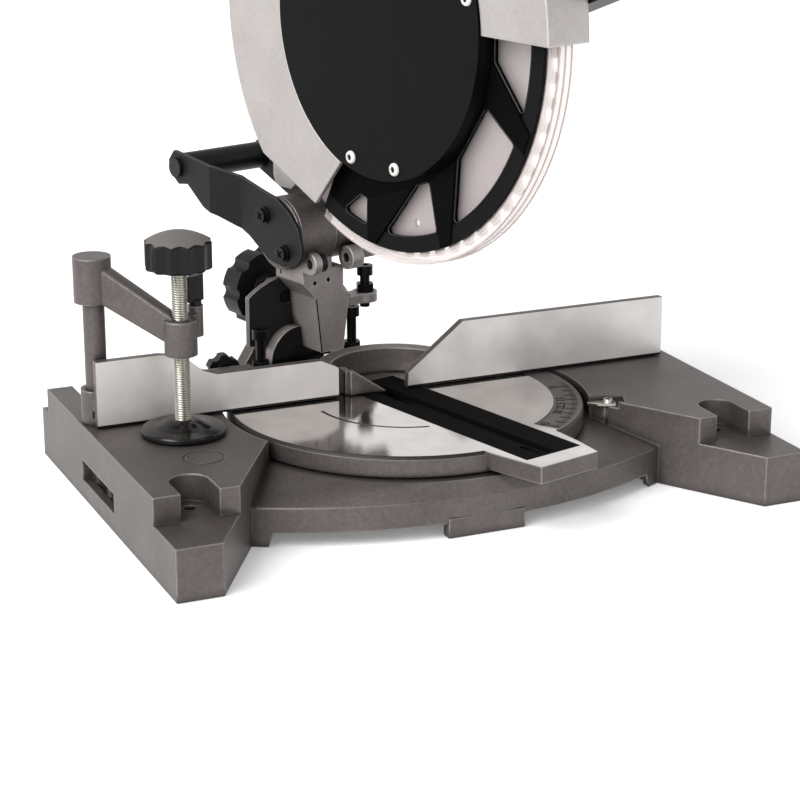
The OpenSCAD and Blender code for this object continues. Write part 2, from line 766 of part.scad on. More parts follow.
// Yoke behind the turntable: carries the bevel pin and the lock stud
module bevel_yoke() color("Silver") turned() difference() {
  union() {
    for (s = [-1, 1]) {
      a = s < 0 ? -yoke_left : yoke_inner;
      b = s < 0 ? -yoke_inner : yoke_right;
      difference() {
        box([a, turn_r - 18, -turn_thick], [b, plate_v - 0.5, -1]);
        cylinder(h = 100, r = turn_r, center = true, $fn = 96);
      }
      wall_a = s < 0 ? -yoke_outer : yoke_inner;
      wall_b = s < 0 ? -yoke_inner : yoke_outer;
      box([wall_a, moat_r + 2.5, -yoke_drop], [wall_b, plate_v - 0.5, -2]);
    }
    box([-yoke_outer, moat_r + 2.5, -yoke_drop], [yoke_outer, yoke_v + yoke_thick, -yoke_drop + 10]);
    front(yoke_v, yoke_thick) polygon([[-yoke_outer, -yoke_drop], [yoke_outer, -yoke_drop],
      [yoke_outer, -6], [27, 14], [stud_u + 13, stud_z + 3], [stud_u + 6, stud_z + 12],
      [stud_u - 6, stud_z + 12], [stud_u - 13, stud_z + 3], [-27, 14], [-yoke_outer, -6]]);
  }
  rod_v(yoke_v - 1, yoke_thick + 2, bevel_pin_r, 0, 0);
  rod_v(yoke_v - 1, yoke_thick + 2, stud_r, stud_u, stud_z);
  for (p = stops) translate([p[0], stop_v, -20]) cylinder(h = 30, r = 4, $fn = 24);
}

module stop_screws() color("Black") turned() for (p = stops) translate([p[0], stop_v, 0]) {
  translate([0, 0, -12]) cylinder(h = p[1] + 8, r = 4 - run_fit, $fn = 24);
  translate([0, 0, p[1] - stop_head]) socket_head();
}

module socket_head() {
  difference() {
    cylinder(h = stop_head, r = stop_head_r, $fn = 32);
    translate([0, 0, stop_head / 2]) cylinder(h = stop_head, r = 3.4, $fn = 6);
  }
}

module stop_nuts() color("DimGray") turned() for (p = stops) translate([p[0], stop_v, 0]) difference() {
  cylinder(h = 6.5, r = 7.5, $fn = 6);
  translate([0, 0, -1]) cylinder(h = 9, r = 4, $fn = 24);
}

module bevel_pin() color("DimGray") turned() {
  rod_v(hub_v - 0.5, yoke_v + yoke_thick - hub_v + 4, bevel_pin_r, 0, 0);
  rod_v(yoke_v + yoke_thick, 8, bevel_pin_r + 5, 0, 0, $fn = 6);
}

module bevel_stud() color("DimGray") turned()
  rod_v(plate_v + 0.5, yoke_v + yoke_thick + 21 - plate_v, stud_r, stud_u, stud_z);

module bevel_knob() color("Black") turned() difference() {
  translate([stud_u, yoke_v + yoke_thick + 0.4, stud_z]) rotate([-90, 0, 0]) {
    cylinder(h = 8, r = 14);
    translate([0, 0, 6]) linear_extrude(20) lobes(bevel_knob_r, 8, 3);
    translate([0, 0, 26]) cylinder(h = 4, r1 = bevel_knob_r - 5, r2 = bevel_knob_r - 12);
  }
  rod_v(plate_v, yoke_v + yoke_thick + 22.5 - plate_v, stud_r + run_fit, stud_u, stud_z);
}

// Column: tapered neck, block with lugs, hinge barrel, ear for the depth stop and bevel hub
module column() color("Silver") turned() difference() {
  union() {
    front(column_front, column_deep)
      polygon([[neck_left, neck_top], [neck_right, neck_top], [26.5, 9], [5, 9]]);
    front(hub_v, plate_v - hub_v) polygon([[-4, 9.5], [26.5, 9.5], [20, -4], [-10, -4]]);
    front(column_front, column_deep) polygon([[-block_left, block_low], [-block_left, block_top],
      [barrel_right, block_top], [barrel_right, block_step], [block_right, block_step],
      [block_right, neck_top + 4], [neck_right, neck_top], [neck_left, neck_top]]);
    box([-block_left, column_front, block_top - eps], [barrel_right, plate_v, hinge_z]);
    rod_u(-barrel_left, barrel_long, barrel_r, hinge_v, hinge_z, $fn = 72);
    // Lugs of the hold-down pin
    side(-block_left, lug_thick) {
      translate([lug_v, lug_z]) circle(lug_r);
      translate([lug_v, lug_z - lug_r]) square([column_front - lug_v + 2, 2 * lug_r]);
    }
    rod_u(boss_left, boss_long, boss_r, lug_v, lug_z);
    box([boss_left, lug_v, lug_z - boss_r], [block_right, column_front + 2, block_step]);
    // Ear of the depth stop
    translate([ear_u, ear_v, ear_low]) cylinder(h = ear_thick, r = ear_r);
    box([20, ear_v - 7, ear_low], [ear_u, ear_v + 7, ear_low + ear_thick]);
    front(ear_v - 4, 8) polygon([[20, ear_low], [ear_u - 12, ear_low], [block_right, neck_top + 14],
      [20, neck_top + 14]]);
    rod_v(hub_v, plate_v - hub_v, bevel_hub_r, 0, 0);
  }
  rod_u(-barrel_left - 1, barrel_long + 2, shaft_r, hinge_v, hinge_z);
  rod_u(-block_left - 1, lug_thick + 2, 4, lug_v, lug_z);
  rod_u(boss_left - 1, 9, 4, lug_v, lug_z);
  rod_v(hub_v - 1, 40, bevel_pin_r + run_fit, 0, 0);
  translate([ear_u, ear_v, 0]) cylinder(h = 100, r = depth_screw_r, $fn = 24);
  for (p = [[-1.2, 67.5], [12.1, 68.3]]) rod_v(column_front - 1, 9, 1.8, p[0], p[1], $fn = 24);
  translate([0, hinge_v, hinge_z]) for (s = [-1, 1])
    rod_u(-barrel_left - 1, 14, plate_screw_r, s * plate_screw_at, s * plate_screw_at, $fn = 24);
}

// Plate behind the column, with the round slot that the lock stud runs in
module bevel_plate() color("DimGray") turned() front(plate_v, bevel_plate_thick) difference() {
  intersection() {
    circle(bevel_plate_r, $fn = 96);
    polygon([[-40, 14], [-40, 80], [48, 80], [48, 14], [24, 12], [24, -12], [-24, -12], [-24, 12]]);
  }
  circle(bevel_pin_r + 1);
  bevel_slot_plan(stud_lean - slot_over - bevel_reach, stud_lean + slot_over);
}

// Round slot between two angles left of upright
module bevel_slot_plan(from, to) {
  intersection() {
    difference() {
      circle(stud_arc_r + stud_r + stud_gap, $fn = 96);
      circle(stud_arc_r - stud_r - stud_gap, $fn = 96);
    }
    rotate(90) sector(200, from, to);
  }
  for (a = [from, to]) rotate(a) translate([0, stud_arc_r]) circle(stud_r + stud_gap / 4);
}

module hinge_shaft() color("DimGray") turned()
  rod_u(-barrel_left, barrel_left + right_plate_u + plate_thick + 8, shaft_r, hinge_v, hinge_z);

module hinge_flange() color("DarkGray") turned() translate([plate_front_u, hinge_v, hinge_z]) difference() {
  rod_u(0, flange_thick, barrel_r - 0.4, 0, 0, $fn = 72);
  for (s = [-1, 1]) rod_u(-1, 6, plate_screw_r, s * plate_screw_at, s * plate_screw_at, $fn = 24);
}

module shaft_nut() color("DimGray") turned() difference() {
  rod_u(right_plate_u + plate_thick, 9, 20, hinge_v, hinge_z, $fn = 6);
  rod_u(0, 100, shaft_r, hinge_v, hinge_z);
}

// Joggled plate from the hinge to the grip
module handle_plate_left() color("Black") turned() translate([0, hinge_v, hinge_z]) difference() {
  intersection() {
    side(-60, 60) plate_outline();
    translate([0, 0, -50]) linear_extrude(110) plate_joggle();
  }
  for (s = [-1, 1]) rod_u(-60, 60, plate_screw_r, s * plate_screw_at, s * plate_screw_at, $fn = 24);
  rod_u(-60, 60, 4, grip_reach, grip_rise, $fn = 24);
}

// Outline of the left plate from the hinge axis, round the barrel, along the shank and round the grip
module plate_outline() {
  polygon([[-35, -5.7], [-34, -12.7], [-30, -17.7], [-25, -20.7], [-12, -24.7], [8, -22.7], [19, -16.7],
    [35, -7.7], [49, -2.7], [65, 4.3], [81, 9.3], [grip_reach - 13, grip_rise - 12],
    [grip_reach, grip_rise - 14], [grip_reach + 12, grip_rise - 6], [grip_reach + 14, grip_rise + 4],
    [grip_reach + 6, grip_rise + 13], [grip_reach - 16, grip_rise + 11], [70, 44.3], [41, 37.3],
    [17, 32.3], [-3, 28.8], [-20, 19.3], [-30, 9.3]]);
}

// The plate seen from above, with the step that sets its rear end outwards
module plate_joggle() {
  step_from = 46;
  step_to = 71;
  polygon([[plate_front_u - plate_thick, -44], [plate_front_u, -44], [plate_front_u, step_from + 1],
    [plate_rear_u, step_to + 1], [plate_rear_u, grip_reach + 40],
    [plate_rear_u - plate_thick, grip_reach + 40], [plate_rear_u - plate_thick, step_to],
    [plate_front_u - plate_thick, step_from]]);
}

module handle_plate_right() color("Black") turned() difference() {
  side(right_plate_u, plate_thick) hull() {
    translate([hinge_v, hinge_z]) circle(20);
    translate([grip_v, grip_z]) circle(13);
  }
  rod_u(0, 100, shaft_r, hinge_v, hinge_z);
  rod_u(0, 100, 4, grip_v, grip_z, $fn = 24);
}

module handle_grip() color("Black") turned() {
  rod_u(plate_rear_u, right_plate_u - plate_rear_u, grip_r, grip_v, grip_z);
  rod_u(plate_rear_u - plate_thick, plate_thick + eps, 4, grip_v, grip_z, $fn = 24);
  rod_u(plate_rear_u - plate_thick - 4, 4, 8, grip_v, grip_z, $fn = 32);
  rod_u(right_plate_u - eps, plate_thick + eps, 4, grip_v, grip_z, $fn = 24);
  rod_u(right_plate_u + plate_thick, 4, 8, grip_v, grip_z, $fn = 32);
}

// Pan screws with spring washers, through the plate and the flange into the barrel
module plate_screws() color("Black") turned() translate([plate_front_u - plate_thick, hinge_v, hinge_z])
  for (s = [-1, 1]) {
    rod_u(0, 17, plate_screw_r, s * plate_screw_at, s * plate_screw_at, $fn = 24);
    rod_u(-2, 2, plate_washer_r, s * plate_screw_at, s * plate_screw_at, $fn = 24);
    rod_u(-5.5, 3.5, plate_head_r, s * plate_screw_at, s * plate_screw_at, $fn = 24);
  }

module depth_stop_screw() color("Black") turned() translate([ear_u, ear_v, 0]) {
  translate([0, 0, ear_low - 5]) cylinder(h = depth_top - ear_low, r = depth_screw_r, $fn = 24);
  translate([0, 0, depth_top - stop_head]) socket_head();
}

module depth_stop_nut() color("DimGray") turned() translate([ear_u, ear_v, ear_low + ear_thick])
  difference() {
    cylinder(h = 6.5, r = 7.5, $fn = 6);
    translate([0, 0, -1]) cylinder(h = 9, r = depth_screw_r, $fn = 24);
  }

module stop_disc() color("Black") turned() difference() {
  rod_u(-block_left + lug_thick, 6, lug_r - 1.1, lug_v, lug_z);
  rod_u(-20, 40, 4, lug_v, lug_z);
}

// Head, drawn raised
// A point of the lowered head, turned back to where it is when the head is raised
function lowered(p) = [p[0] * cos(chop_reach) + p[1] * sin(chop_reach),
  p[1] * cos(chop_reach) - p[0] * sin(chop_reach)];

module head_arm() color("Silver") turned() difference() {
  union() {
    rod_u(arm_hub_left, arm_hub_right - arm_hub_left, arm_hub_r, hinge_v, hinge_z);
    side(arm_left, arm_right - arm_left) polygon([[hinge_v + 4, hinge_z + 25], [hinge_v - 24, hinge_z - 2],
      [blade_v + 50, blade_z - 62], [blade_v - 26, blade_z - 38], [blade_v - 20, blade_z + 30],
      [blade_v + 36, blade_z + 46], [blade_v + 66, blade_z - 10]]);
    // Finger that lands on the depth stop
    side(arm_left, finger_right - arm_left) translate([hinge_v, hinge_z])
      polygon([[-22, 6], lowered([-16, -stop_drop]), lowered([-3, -stop_drop]), [-14, -18]]);
  }
  rod_u(0, 100, shaft_r + run_fit, hinge_v, hinge_z);
  rod_u(arm_hub_right, 60, 24, hinge_v, hinge_z);
  rod_u(0, 100, gear_r - 4, blade_v, blade_z);
  // Lightening pockets between the ribs of the arm
  side(arm_right - 12, 40) polygon([[hinge_v - 8, hinge_z + 40], [hinge_v - 30, hinge_z + 22],
    [blade_v + 62, blade_z - 70], [blade_v + 82, blade_z - 52]]);
}

module gear_case() color("Silver") turned() difference() {
  union() {
    rod_u(nose_left, gear_left - nose_left + eps, nose_r, blade_v, blade_z, $fn = 72);
    rod_u(gear_left, arm_left - gear_left, gear_r, blade_v, blade_z, $fn = 72);
    rod_u(gear_left, motor_left - gear_left, gear_r - 4, blade_v, blade_z, $fn = 72);
    side(arm_right, motor_left - arm_right + 4) hull() {
      translate([blade_v, blade_z]) circle(gear_r);
      translate([motor_v, motor_z]) circle(motor_r + 2);
    }
  }
  // Hollow nose round the inner flange, spindle bore and seat of the spindle lock
  rod_u(nose_left - 1, gear_left - nose_left + 1, nose_r - nose_wall, blade_v, blade_z);
  rod_u(gear_left - 1, 30, spindle_r + run_fit, blade_v, blade_z);
  rod_u(motor_left - 14, 40, spindle_lock_r + run_fit, blade_v, blade_z - spindle_lock_down);
}

module motor_housing() color("DimGray") turned() difference() {
  rod_u(motor_left + 4, motor_long, motor_r, motor_v, motor_z, $fn = 72);
  // Cooling slots round the far end
  for (i = [0:11]) translate([motor_left + motor_long - 22, motor_v, motor_z]) rotate([i * 30, 0, 0])
    translate([0, -2, motor_r - 5]) cube([18, 4, 10]);
  for (s = [-1, 1]) rod_v(motor_v + s * (motor_r - 8) - 5, 10, 8, motor_left + 40, motor_z, $fn = 32);
}

module motor_cap() color("Black") turned() translate([motor_left + 4 + motor_long, motor_v, motor_z])
  rotate([0, 90, 0]) rotate_extrude($fn = 72) polygon([[0, 0], [motor_r, 0], [motor_r, 10], [motor_r - 8, 20],
    [motor_r - 20, 24], [0, 24]]);

module brush_caps() color("Black") turned() for (s = [-1, 1])
  rod_v(motor_v + s * (motor_r - 8) - 5, 10, 8 - run_fit, motor_left + 40, motor_z, $fn = 32);

// Upper guard: side walls and rim round the upper part of the blade
module cover_plan() {
  polygon([[51, 179], [85, 140], [141, 163.5], [240, 206], [240, 540], [-240, 540], [-240, blade_z + 4],
    [-60, blade_z + 4], [-22, blade_z - 28]]);
}

module upper_guard() color("Silver") turned() difference() {
  union() {
    for (u = [cover_left, cover_right]) side(u, guard_wall) intersection() {
      translate([blade_v, blade_z]) circle(cover_out_r, $fn = 120);
      cover_plan();
    }
    side(cover_left, cover_right - cover_left + guard_wall) intersection() {
      translate([blade_v, blade_z]) difference() {
        circle(cover_out_r, $fn = 120);
        circle(cover_in_r, $fn = 120);
      }
      cover_plan();
    }
  }
  rod_u(cover_left - 1, guard_wall + 2, hub_cover_r + 1.5, blade_v, blade_z, $fn = 72);
  rod_u(cover_right - 1, guard_wall + 2, nose_r + 0.3, blade_v, blade_z, $fn = 72);
  chute_passage();
}

module chute_passage() {
  box([chute_left + 3, chute_rear - 40, chute_low + 26], [chute_right - 3, chute_rear + 30, chute_low + 44]);
}

// Dust spout under the rear of the upper guard
module dust_chute() color("Silver") turned() difference() {
  side(chute_left, chute_right - chute_left) difference() {
    polygon([[chute_rear - 36, chute_low + 12], [chute_rear - 24, chute_low], [chute_rear - 8, chute_low],
      [chute_rear - 2.4, chute_low + 2.4], [chute_rear, chute_low + 8], [chute_rear, chute_low + 50],
      [chute_rear - 20, chute_low + 50]]);
    translate([blade_v, blade_z]) circle(cover_out_r, $fn = 120);
  }
  chute_passage();
}

// Main handle: two halves of a closed loop on a neck, set out along a radius of the blade
module handle_frame() {
  translate([blade_v, blade_z]) rotate(loop_angle - 90) translate([0, loop_r]) children();
}

module loop_plan() {
  handle_frame() difference() {
    hull() for (s = [-1, 1]) {
      translate([s * 48, 26]) circle(20, $fn = 32);
      translate([s * 40, -26]) circle(20, $fn = 32);
    }
    hull() for (s = [-1, 1]) {
      translate([s * 38, 10]) circle(12, $fn = 32);
      translate([s * 32, -18]) circle(12, $fn = 32);
    }
  }
}

module neck_plan() {
  handle_frame() polygon([[-36, -32], [36, -32], [26, -105], [-26, -105]]);
}

module handle_left() color("Black") turned() difference() {
  union() {
    side(gear_left, handle_gap + handle_wide / 2) neck_plan();
    side(handle_u, handle_wide / 2) loop_plan();
  }
  handle_cuts();
}

module handle_right() color("Black") turned() difference() {
  union() {
    side(handle_u + handle_wide / 2, handle_wide / 2) neck_plan();
    side(handle_u + handle_wide / 2, handle_wide / 2) loop_plan();
  }
  handle_cuts();
}

module handle_cuts() {
  side(handle_u + handle_wide / 2 - 6.4, 12.8) handle_frame() translate([-14.5, 14]) square([29, 22.6]);
  side(handle_u - 1, handle_wide + 2) handle_frame() translate([lock_a, lock_b]) circle(button_r + run_fit);
}

module trigger() color("Crimson") turned() side(handle_u + handle_wide / 2 - 6, 12) handle_frame()
  polygon([[-14, 31], [14, 31], [14, 16], [9, 10], [-2, 8], [-11, 10], [-14, 15]]);

module lock_button() color("Crimson") turned() side(handle_u - 3.5, handle_wide - 1) handle_frame()
  translate([lock_a, lock_b]) circle(button_r);

module spindle_lock() color("Black") turned()
  rod_u(motor_left - 9, 20, spindle_lock_r, blade_v, blade_z - spindle_lock_down);

// Lower guard: black frame, clear shell and hub cover, turning about the blade axis
module guard_sector(from, to) {
  sector(260, from, to);
}

module guard_frame() color("Black") turned() translate([0, blade_v, blade_z]) side(frame_u, frame_thick)
  difference() {
    intersection() {
      circle(ring_outer_r, $fn = 120);
      guard_sector(guard_from, guard_to);
    }
    circle(hub_cover_r - hub_skirt - 8, $fn = 72);
    for (w = windows) window_plan(w);
  }

// A window between two spokes: one side nearly radial, the other leaning, with rounded corners
module window_plan(w) {
  offset(r = window_round, $fn = 24) offset(delta = -window_round) intersection() {
    circle(ring_inner_r, $fn = 120);
    polygon([w[0] * [cos(w[1]), sin(w[1])], ring_inner_r * [cos(w[3]), sin(w[3])],
      1.2 * ring_inner_r * [cos(w[3]), sin(w[3])], 1.2 * ring_inner_r * [cos(w[4]), sin(w[4])],
      ring_inner_r * [cos(w[4]), sin(w[4])], w[0] * [cos(w[2]), sin(w[2])]]);
  }
}

module guard_shell() color("LightBlue") turned() translate([0, blade_v, blade_z]) {
  side(shell_left, shell_right - shell_left) intersection() {
    difference() {
      circle(shell_out_r, $fn = 120);
      circle(shell_in_r, $fn = 120);
    }
    guard_sector(guard_from, guard_to);
  }
  side(shell_left, 2) intersection() {
    difference() {
      circle(shell_out_r, $fn = 120);
      circle(hub_cover_r - hub_skirt, $fn = 72);
    }
    guard_sector(guard_from, guard_to);
  }
  // Right wall, carried on the nose of the gear case
  side(shell_right - 2, 2) difference() {
    union() {
      circle(nose_r + 10, $fn = 72);
      intersection() {
        circle(shell_out_r, $fn = 120);
        guard_sector(guard_from, guard_to);
      }
    }
    circle(nose_r + run_fit, $fn = 72);
  }
}

module guard_hub() color("Black") turned() translate([0, blade_v, blade_z]) difference() {
  rod_u(hub_left, shell_left - hub_left - frame_thick, hub_cover_r, 0, 0, $fn = 72);
  rod_u(hub_left + hub_skirt, 40, hub_cover_r - hub_skirt, 0, 0, $fn = 72);
  for (a = hub_screws) rotate([a, 0, 0]) rod_u(hub_left - 1, 10, 2.5, hub_screw_r, 0, $fn = 24);
}

module guard_screws() color("WhiteSmoke") turned() translate([0, blade_v, blade_z]) for (a = hub_screws)
  rotate([a, 0, 0]) {
    rod_u(hub_left - 2.5, 2.5, 6, hub_screw_r, 0, $fn = 32);
    rod_u(hub_left - 0.5, 6, 2.5 - run_fit, hub_screw_r, 0, $fn = 24);
  }

// Blade with raked teeth and round gullets
module blade() color("LightGray") turned() translate([0, blade_v, blade_z])
  side(-blade_thick / 2, blade_thick) difference() {
    polygon([for (i = [0:blade_teeth - 1]) for (k = [0:3])
      let (a = (i + tooth_share[k]) * 360 / blade_teeth, r = blade_r - tooth_deep[k]) r * [cos(a), sin(a)]]);
    circle(bore_r);
    for (i = [0:5]) rotate(i * 60 + 20) translate([blade_r - 26, 0]) circle(3, $fn = 20);
  }

module flange_outer() color("DimGray") turned() difference() {
  rod_u(-blade_thick / 2 - 6, 6, 34, blade_v, blade_z);
  rod_u(-20, 40, bore_r - 3, blade_v, blade_z);
}

module flange_inner() color("DimGray") turned() difference() {
  rod_u(blade_thick / 2, gear_left - head_gap - blade_thick / 2, 34, blade_v, blade_z);
  rod_u(-20, 60, bore_r - 3, blade_v, blade_z);
}

module arbor_bolt() color("Black") turned() {
  rod_u(-blade_thick / 2 - 8, 2, 16, blade_v, blade_z);
  rod_u(-blade_thick / 2 - 14, 6.1, 11, blade_v, blade_z, $fn = 6);
}

// Spindle: stepped shaft that carries the flanges and the blade
module spindle() color("Silver") turned() {
  rod_u(-blade_thick / 2 - 6, gear_left - head_gap + 6 + blade_thick / 2, bore_r - 3, blade_v, blade_z);
  rod_u(gear_left - head_gap - eps, 28, spindle_r, blade_v, blade_z);
  rod_u(-blade_thick / 2, blade_thick, bore_r, blade_v, blade_z);
}

base();
fence_casting();
fence_bolts();
mitre_pointer();
pointer_screw();
clamp_arm();
clamp_thumbscrew();
clamp_foot();
clamp_screw();
clamp_knob();
left_fence();
left_fence_knob();
right_fence();
right_fence_knob();
turntable();
table_insert();
pivot_bolt();
bevel_yoke();
stop_screws();
stop_nuts();
bevel_pin();
bevel_stud();
bevel_knob();
column();
bevel_plate();
hinge_shaft();
hinge_flange();
shaft_nut();
handle_plate_left();
handle_plate_right();
handle_grip();
plate_screws();
depth_stop_screw();
depth_stop_nut();
stop_disc();
head_arm();
gear_case();
motor_housing();
motor_cap();
brush_caps();
upper_guard();
dust_chute();
handle_left();
handle_right();
trigger();
lock_button();
spindle_lock();
guard_frame();
guard_shell();
guard_hub();
guard_screws();
blade();
flange_outer();
flange_inner();
arbor_bolt();
spindle();
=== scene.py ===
# %% [markdown]
# # A compound mitre saw on a white studio floor
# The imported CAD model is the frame: it gives every piece its place and its body. This lesson
# dresses it. Castings, milled faces, mouldings and steel get materials that start from how each
# surface was made, and the fine pieces that a CAD solid leaves plain are built here.

# %% Load the frame
import json
import math

import bmesh
import bpy
from mathutils import Matrix, Vector


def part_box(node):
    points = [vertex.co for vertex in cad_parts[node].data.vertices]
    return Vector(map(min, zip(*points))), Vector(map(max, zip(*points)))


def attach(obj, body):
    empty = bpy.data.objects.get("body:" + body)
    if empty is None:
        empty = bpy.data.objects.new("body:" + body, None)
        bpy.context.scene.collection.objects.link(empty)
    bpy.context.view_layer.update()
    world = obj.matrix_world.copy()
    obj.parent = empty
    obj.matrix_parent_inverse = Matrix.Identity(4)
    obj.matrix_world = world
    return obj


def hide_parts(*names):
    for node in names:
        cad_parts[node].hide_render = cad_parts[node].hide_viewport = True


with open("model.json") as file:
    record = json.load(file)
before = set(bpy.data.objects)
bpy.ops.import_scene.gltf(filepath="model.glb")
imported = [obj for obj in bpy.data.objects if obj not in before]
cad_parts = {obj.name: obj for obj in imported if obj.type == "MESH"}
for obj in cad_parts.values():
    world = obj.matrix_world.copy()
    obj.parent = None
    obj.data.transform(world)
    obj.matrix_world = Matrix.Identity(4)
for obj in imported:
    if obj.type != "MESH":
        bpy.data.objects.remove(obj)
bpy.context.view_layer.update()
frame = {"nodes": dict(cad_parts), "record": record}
nodes = frame["nodes"]

# %% [markdown]
# The saw is drawn with its table turned by the mitre angle. A small function turns table
# coordinates (across, to the rear, above the table top, in millimetres) into the row frame, so
# the pieces on the table can be written in the numbers that a maker would read off the drawing.
# A second one does the same for what goes round the blade's axis.

# %% Table coordinates
MM = 0.001
MITRE = math.radians(15)
TABLE_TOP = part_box("fence_casting")[0].z
ACROSS = Vector((math.cos(MITRE), math.sin(MITRE), 0))
REARWARD = Vector((-math.sin(MITRE), math.cos(MITRE), 0))
UP = Vector((0, 0, 1))
TABLE_TURN = Matrix((ACROSS, REARWARD, UP)).transposed().to_4x4()
BLADE_V, BLADE_Z = 10.0, 287.0


def at_table(across, rearward, above):
    """A point given on the turned table, in the row frame."""
    return (ACROSS * across + REARWARD * rearward) * MM + UP * (TABLE_TOP + above * MM)


def at_blade(across, reach, angle):
    """A point at a distance and an angle round the blade's axis, in the row frame."""
    return at_table(across, BLADE_V + reach * math.cos(angle), BLADE_Z + reach * math.sin(angle))


BLADE_AXIS = at_table(0, BLADE_V, BLADE_Z)
print("table top at", round(TABLE_TOP / MM, 1), "mm, blade axis", [round(v, 3) for v in BLADE_AXIS])

# %% [markdown]
# ## Camera and studio
# The camera is fitted to the photograph: a long lens to the left of the front, looking down on
# the table. A long lens keeps the parallel edges of the fences nearly parallel, which a wider lens,
# moved nearer, would not.

# %% Camera
CAMERA_PLACE = Vector((-660.9, -1495.0, 526.2)) * MM + UP * TABLE_TOP
CAMERA_AIM = Vector((0.3828, 0.8713, -0.3072))
SENSOR = 36.0
FOCAL_PIXELS = 2248.6
IMAGE_PIXELS = 800

camera_data = bpy.data.cameras.new("studio_camera")
camera_data.sensor_width = SENSOR
camera_data.lens = FOCAL_PIXELS * SENSOR / IMAGE_PIXELS
camera = bpy.data.objects.new("studio_camera", camera_data)
bpy.context.scene.collection.objects.link(camera)
camera.location = CAMERA_PLACE
camera.rotation_euler = CAMERA_AIM.to_track_quat("-Z", "Y").to_euler()
bpy.context.scene.camera = camera
bpy.context.scene.view_settings.view_transform = "Standard"
print("lens", round(camera_data.lens, 1), "mm")

# %% [markdown]
# Colours are written as sRGB codes, the way a paint chart gives them, and turned to linear light
# in one place. Every shader node is made by one function, so a material reads as a short recipe.


# %% Colour and node helpers
def hex_colour(code):
    """An sRGB hex code as linear red, green, blue and alpha."""
    channels = [int(code[i:i + 2], 16) / 255 for i in (1, 3, 5)]
    return [c / 12.92 if c <= 0.04045 else ((c + 0.055) / 1.055) ** 2.4 for c in channels] + [1.0]


def add(tree, kind, settings=None, links=None):
    """Adds a node: its settings are attributes or input values, its links are wires into it."""
    node = tree.nodes.new(kind)
    for name, value in (settings or {}).items():
        if isinstance(name, str) and hasattr(node, name):
            setattr(node, name, value)
        else:
            node.inputs[name].default_value = value
    for name, socket in (links or {}).items():
        tree.links.new(socket, node.inputs[name])
    return node


def new_material(name):
    """An empty material: itself, its tree, its shader, and coordinates that stay with the piece."""
    made = bpy.data.materials.new(name)
    made.use_nodes = True
    tree = made.node_tree
    return made, tree, tree.nodes["Principled BSDF"], add(tree, "ShaderNodeTexCoord")


def wire(tree, shader, **sockets):
    """Links outputs to the shader's inputs, named with _ for each space."""
    for name, output in sockets.items():
        tree.links.new(output, shader.inputs[name.replace("_", " ")])


# %% [markdown]
# The studio is a white floor in a pale room with a dark ceiling. Metal shows what it reflects:
# the bright walls and floor give the fences and the table their even silver, and the ceiling
# keeps the tops of the castings darker than their sides, as in the photograph. The key light is
# a wide sun from the front left, because a sun lights the floor evenly to the far edge. A weaker
# one from the front lifts the faces that look towards the camera.

# %% Floor
FLOOR_HALF = 9.0
FLOOR_DROP = 0.6 * MM
FLOOR_GLOW = 0.15
floor_mesh = bpy.data.meshes.new("studio_floor")
corners = [(-FLOOR_HALF, -FLOOR_HALF, 0), (FLOOR_HALF, -FLOOR_HALF, 0),
           (FLOOR_HALF, FLOOR_HALF, 0), (-FLOOR_HALF, FLOOR_HALF, 0)]
floor_mesh.from_pydata(corners, [], [(0, 1, 2, 3)])
floor = bpy.data.objects.new("studio_floor", floor_mesh)
floor.location.z = -FLOOR_DROP
bpy.context.scene.collection.objects.link(floor)
floor_paper, tree, shader, place = new_material("white_paper_backdrop")
shader.inputs["Base Color"].default_value = hex_colour("#fbfbfb")
shader.inputs["Roughness"].default_value = 1.0
shader.inputs["Specular IOR Level"].default_value = 0.0
shader.inputs["Emission Color"].default_value = hex_colour("#ffffff")
shader.inputs["Emission Strength"].default_value = FLOOR_GLOW
floor_mesh.materials.append(floor_paper)

# %% Room and lights
WALL_LIGHT, CEILING_LIGHT = 1.0, 0.5
CEILING_FROM, CEILING_FULL = 0.30, 0.80
KEY_TOWARDS, KEY_STRENGTH, KEY_SPREAD = (0.66, 0.24, -0.71), 2.6, 45
FRONT_TOWARDS, FRONT_STRENGTH, FRONT_SPREAD = (0.66, 0.72, -0.22), 0.75, 40
world = bpy.data.worlds.new("white_studio")
bpy.context.scene.world = world
world.use_nodes = True
room = world.node_tree
way = add(room, "ShaderNodeTexCoord")
height = add(room, "ShaderNodeSeparateXYZ", links={"Vector": way.outputs["Generated"]})
fall = add(room, "ShaderNodeMapRange", {"interpolation_type": "SMOOTHSTEP",
           "From Min": CEILING_FROM, "From Max": CEILING_FULL,
           "To Min": WALL_LIGHT, "To Max": CEILING_LIGHT}, {"Value": height.outputs["Z"]})
room.nodes["Background"].inputs["Color"].default_value = hex_colour("#ffffff")
room.links.new(fall.outputs[0], room.nodes["Background"].inputs["Strength"])


def studio_sun(name, towards, strength, spread):
    """A wide soft sun that shines along a direction."""
    lamp = bpy.data.lights.new(name, "SUN")
    lamp.energy = strength
    lamp.angle = math.radians(spread)
    holder = bpy.data.objects.new(name, lamp)
    bpy.context.scene.collection.objects.link(holder)
    holder.rotation_euler = Vector(towards).to_track_quat("-Z", "Y").to_euler()


studio_sun("key_sun", KEY_TOWARDS, KEY_STRENGTH, KEY_SPREAD)
studio_sun("front_sun", FRONT_TOWARDS, FRONT_STRENGTH, FRONT_SPREAD)
print("studio lit")

# %% [markdown]
# ## Materials
# Each finish is named for the real one, and starts from how the surface was made. Patterns are
# scaled in millimetres: `per_mm` turns the size of one feature into a noise texture's scale.
# Edges come from the Bevel node, which rounds the normals where two faces meet, without touching
# the CAD mesh. Where its normal leaves the face's own, there is an edge; where a short ambient
# occlusion ray is free, the edge points outwards. The two together mark the edges that are painted
# paler, partly as wear and partly as painted highlight. Where the ray is blocked, a corner is
# painted darker as shade.


# %% Pattern scale and edges
CORNER_REACH = 9.0


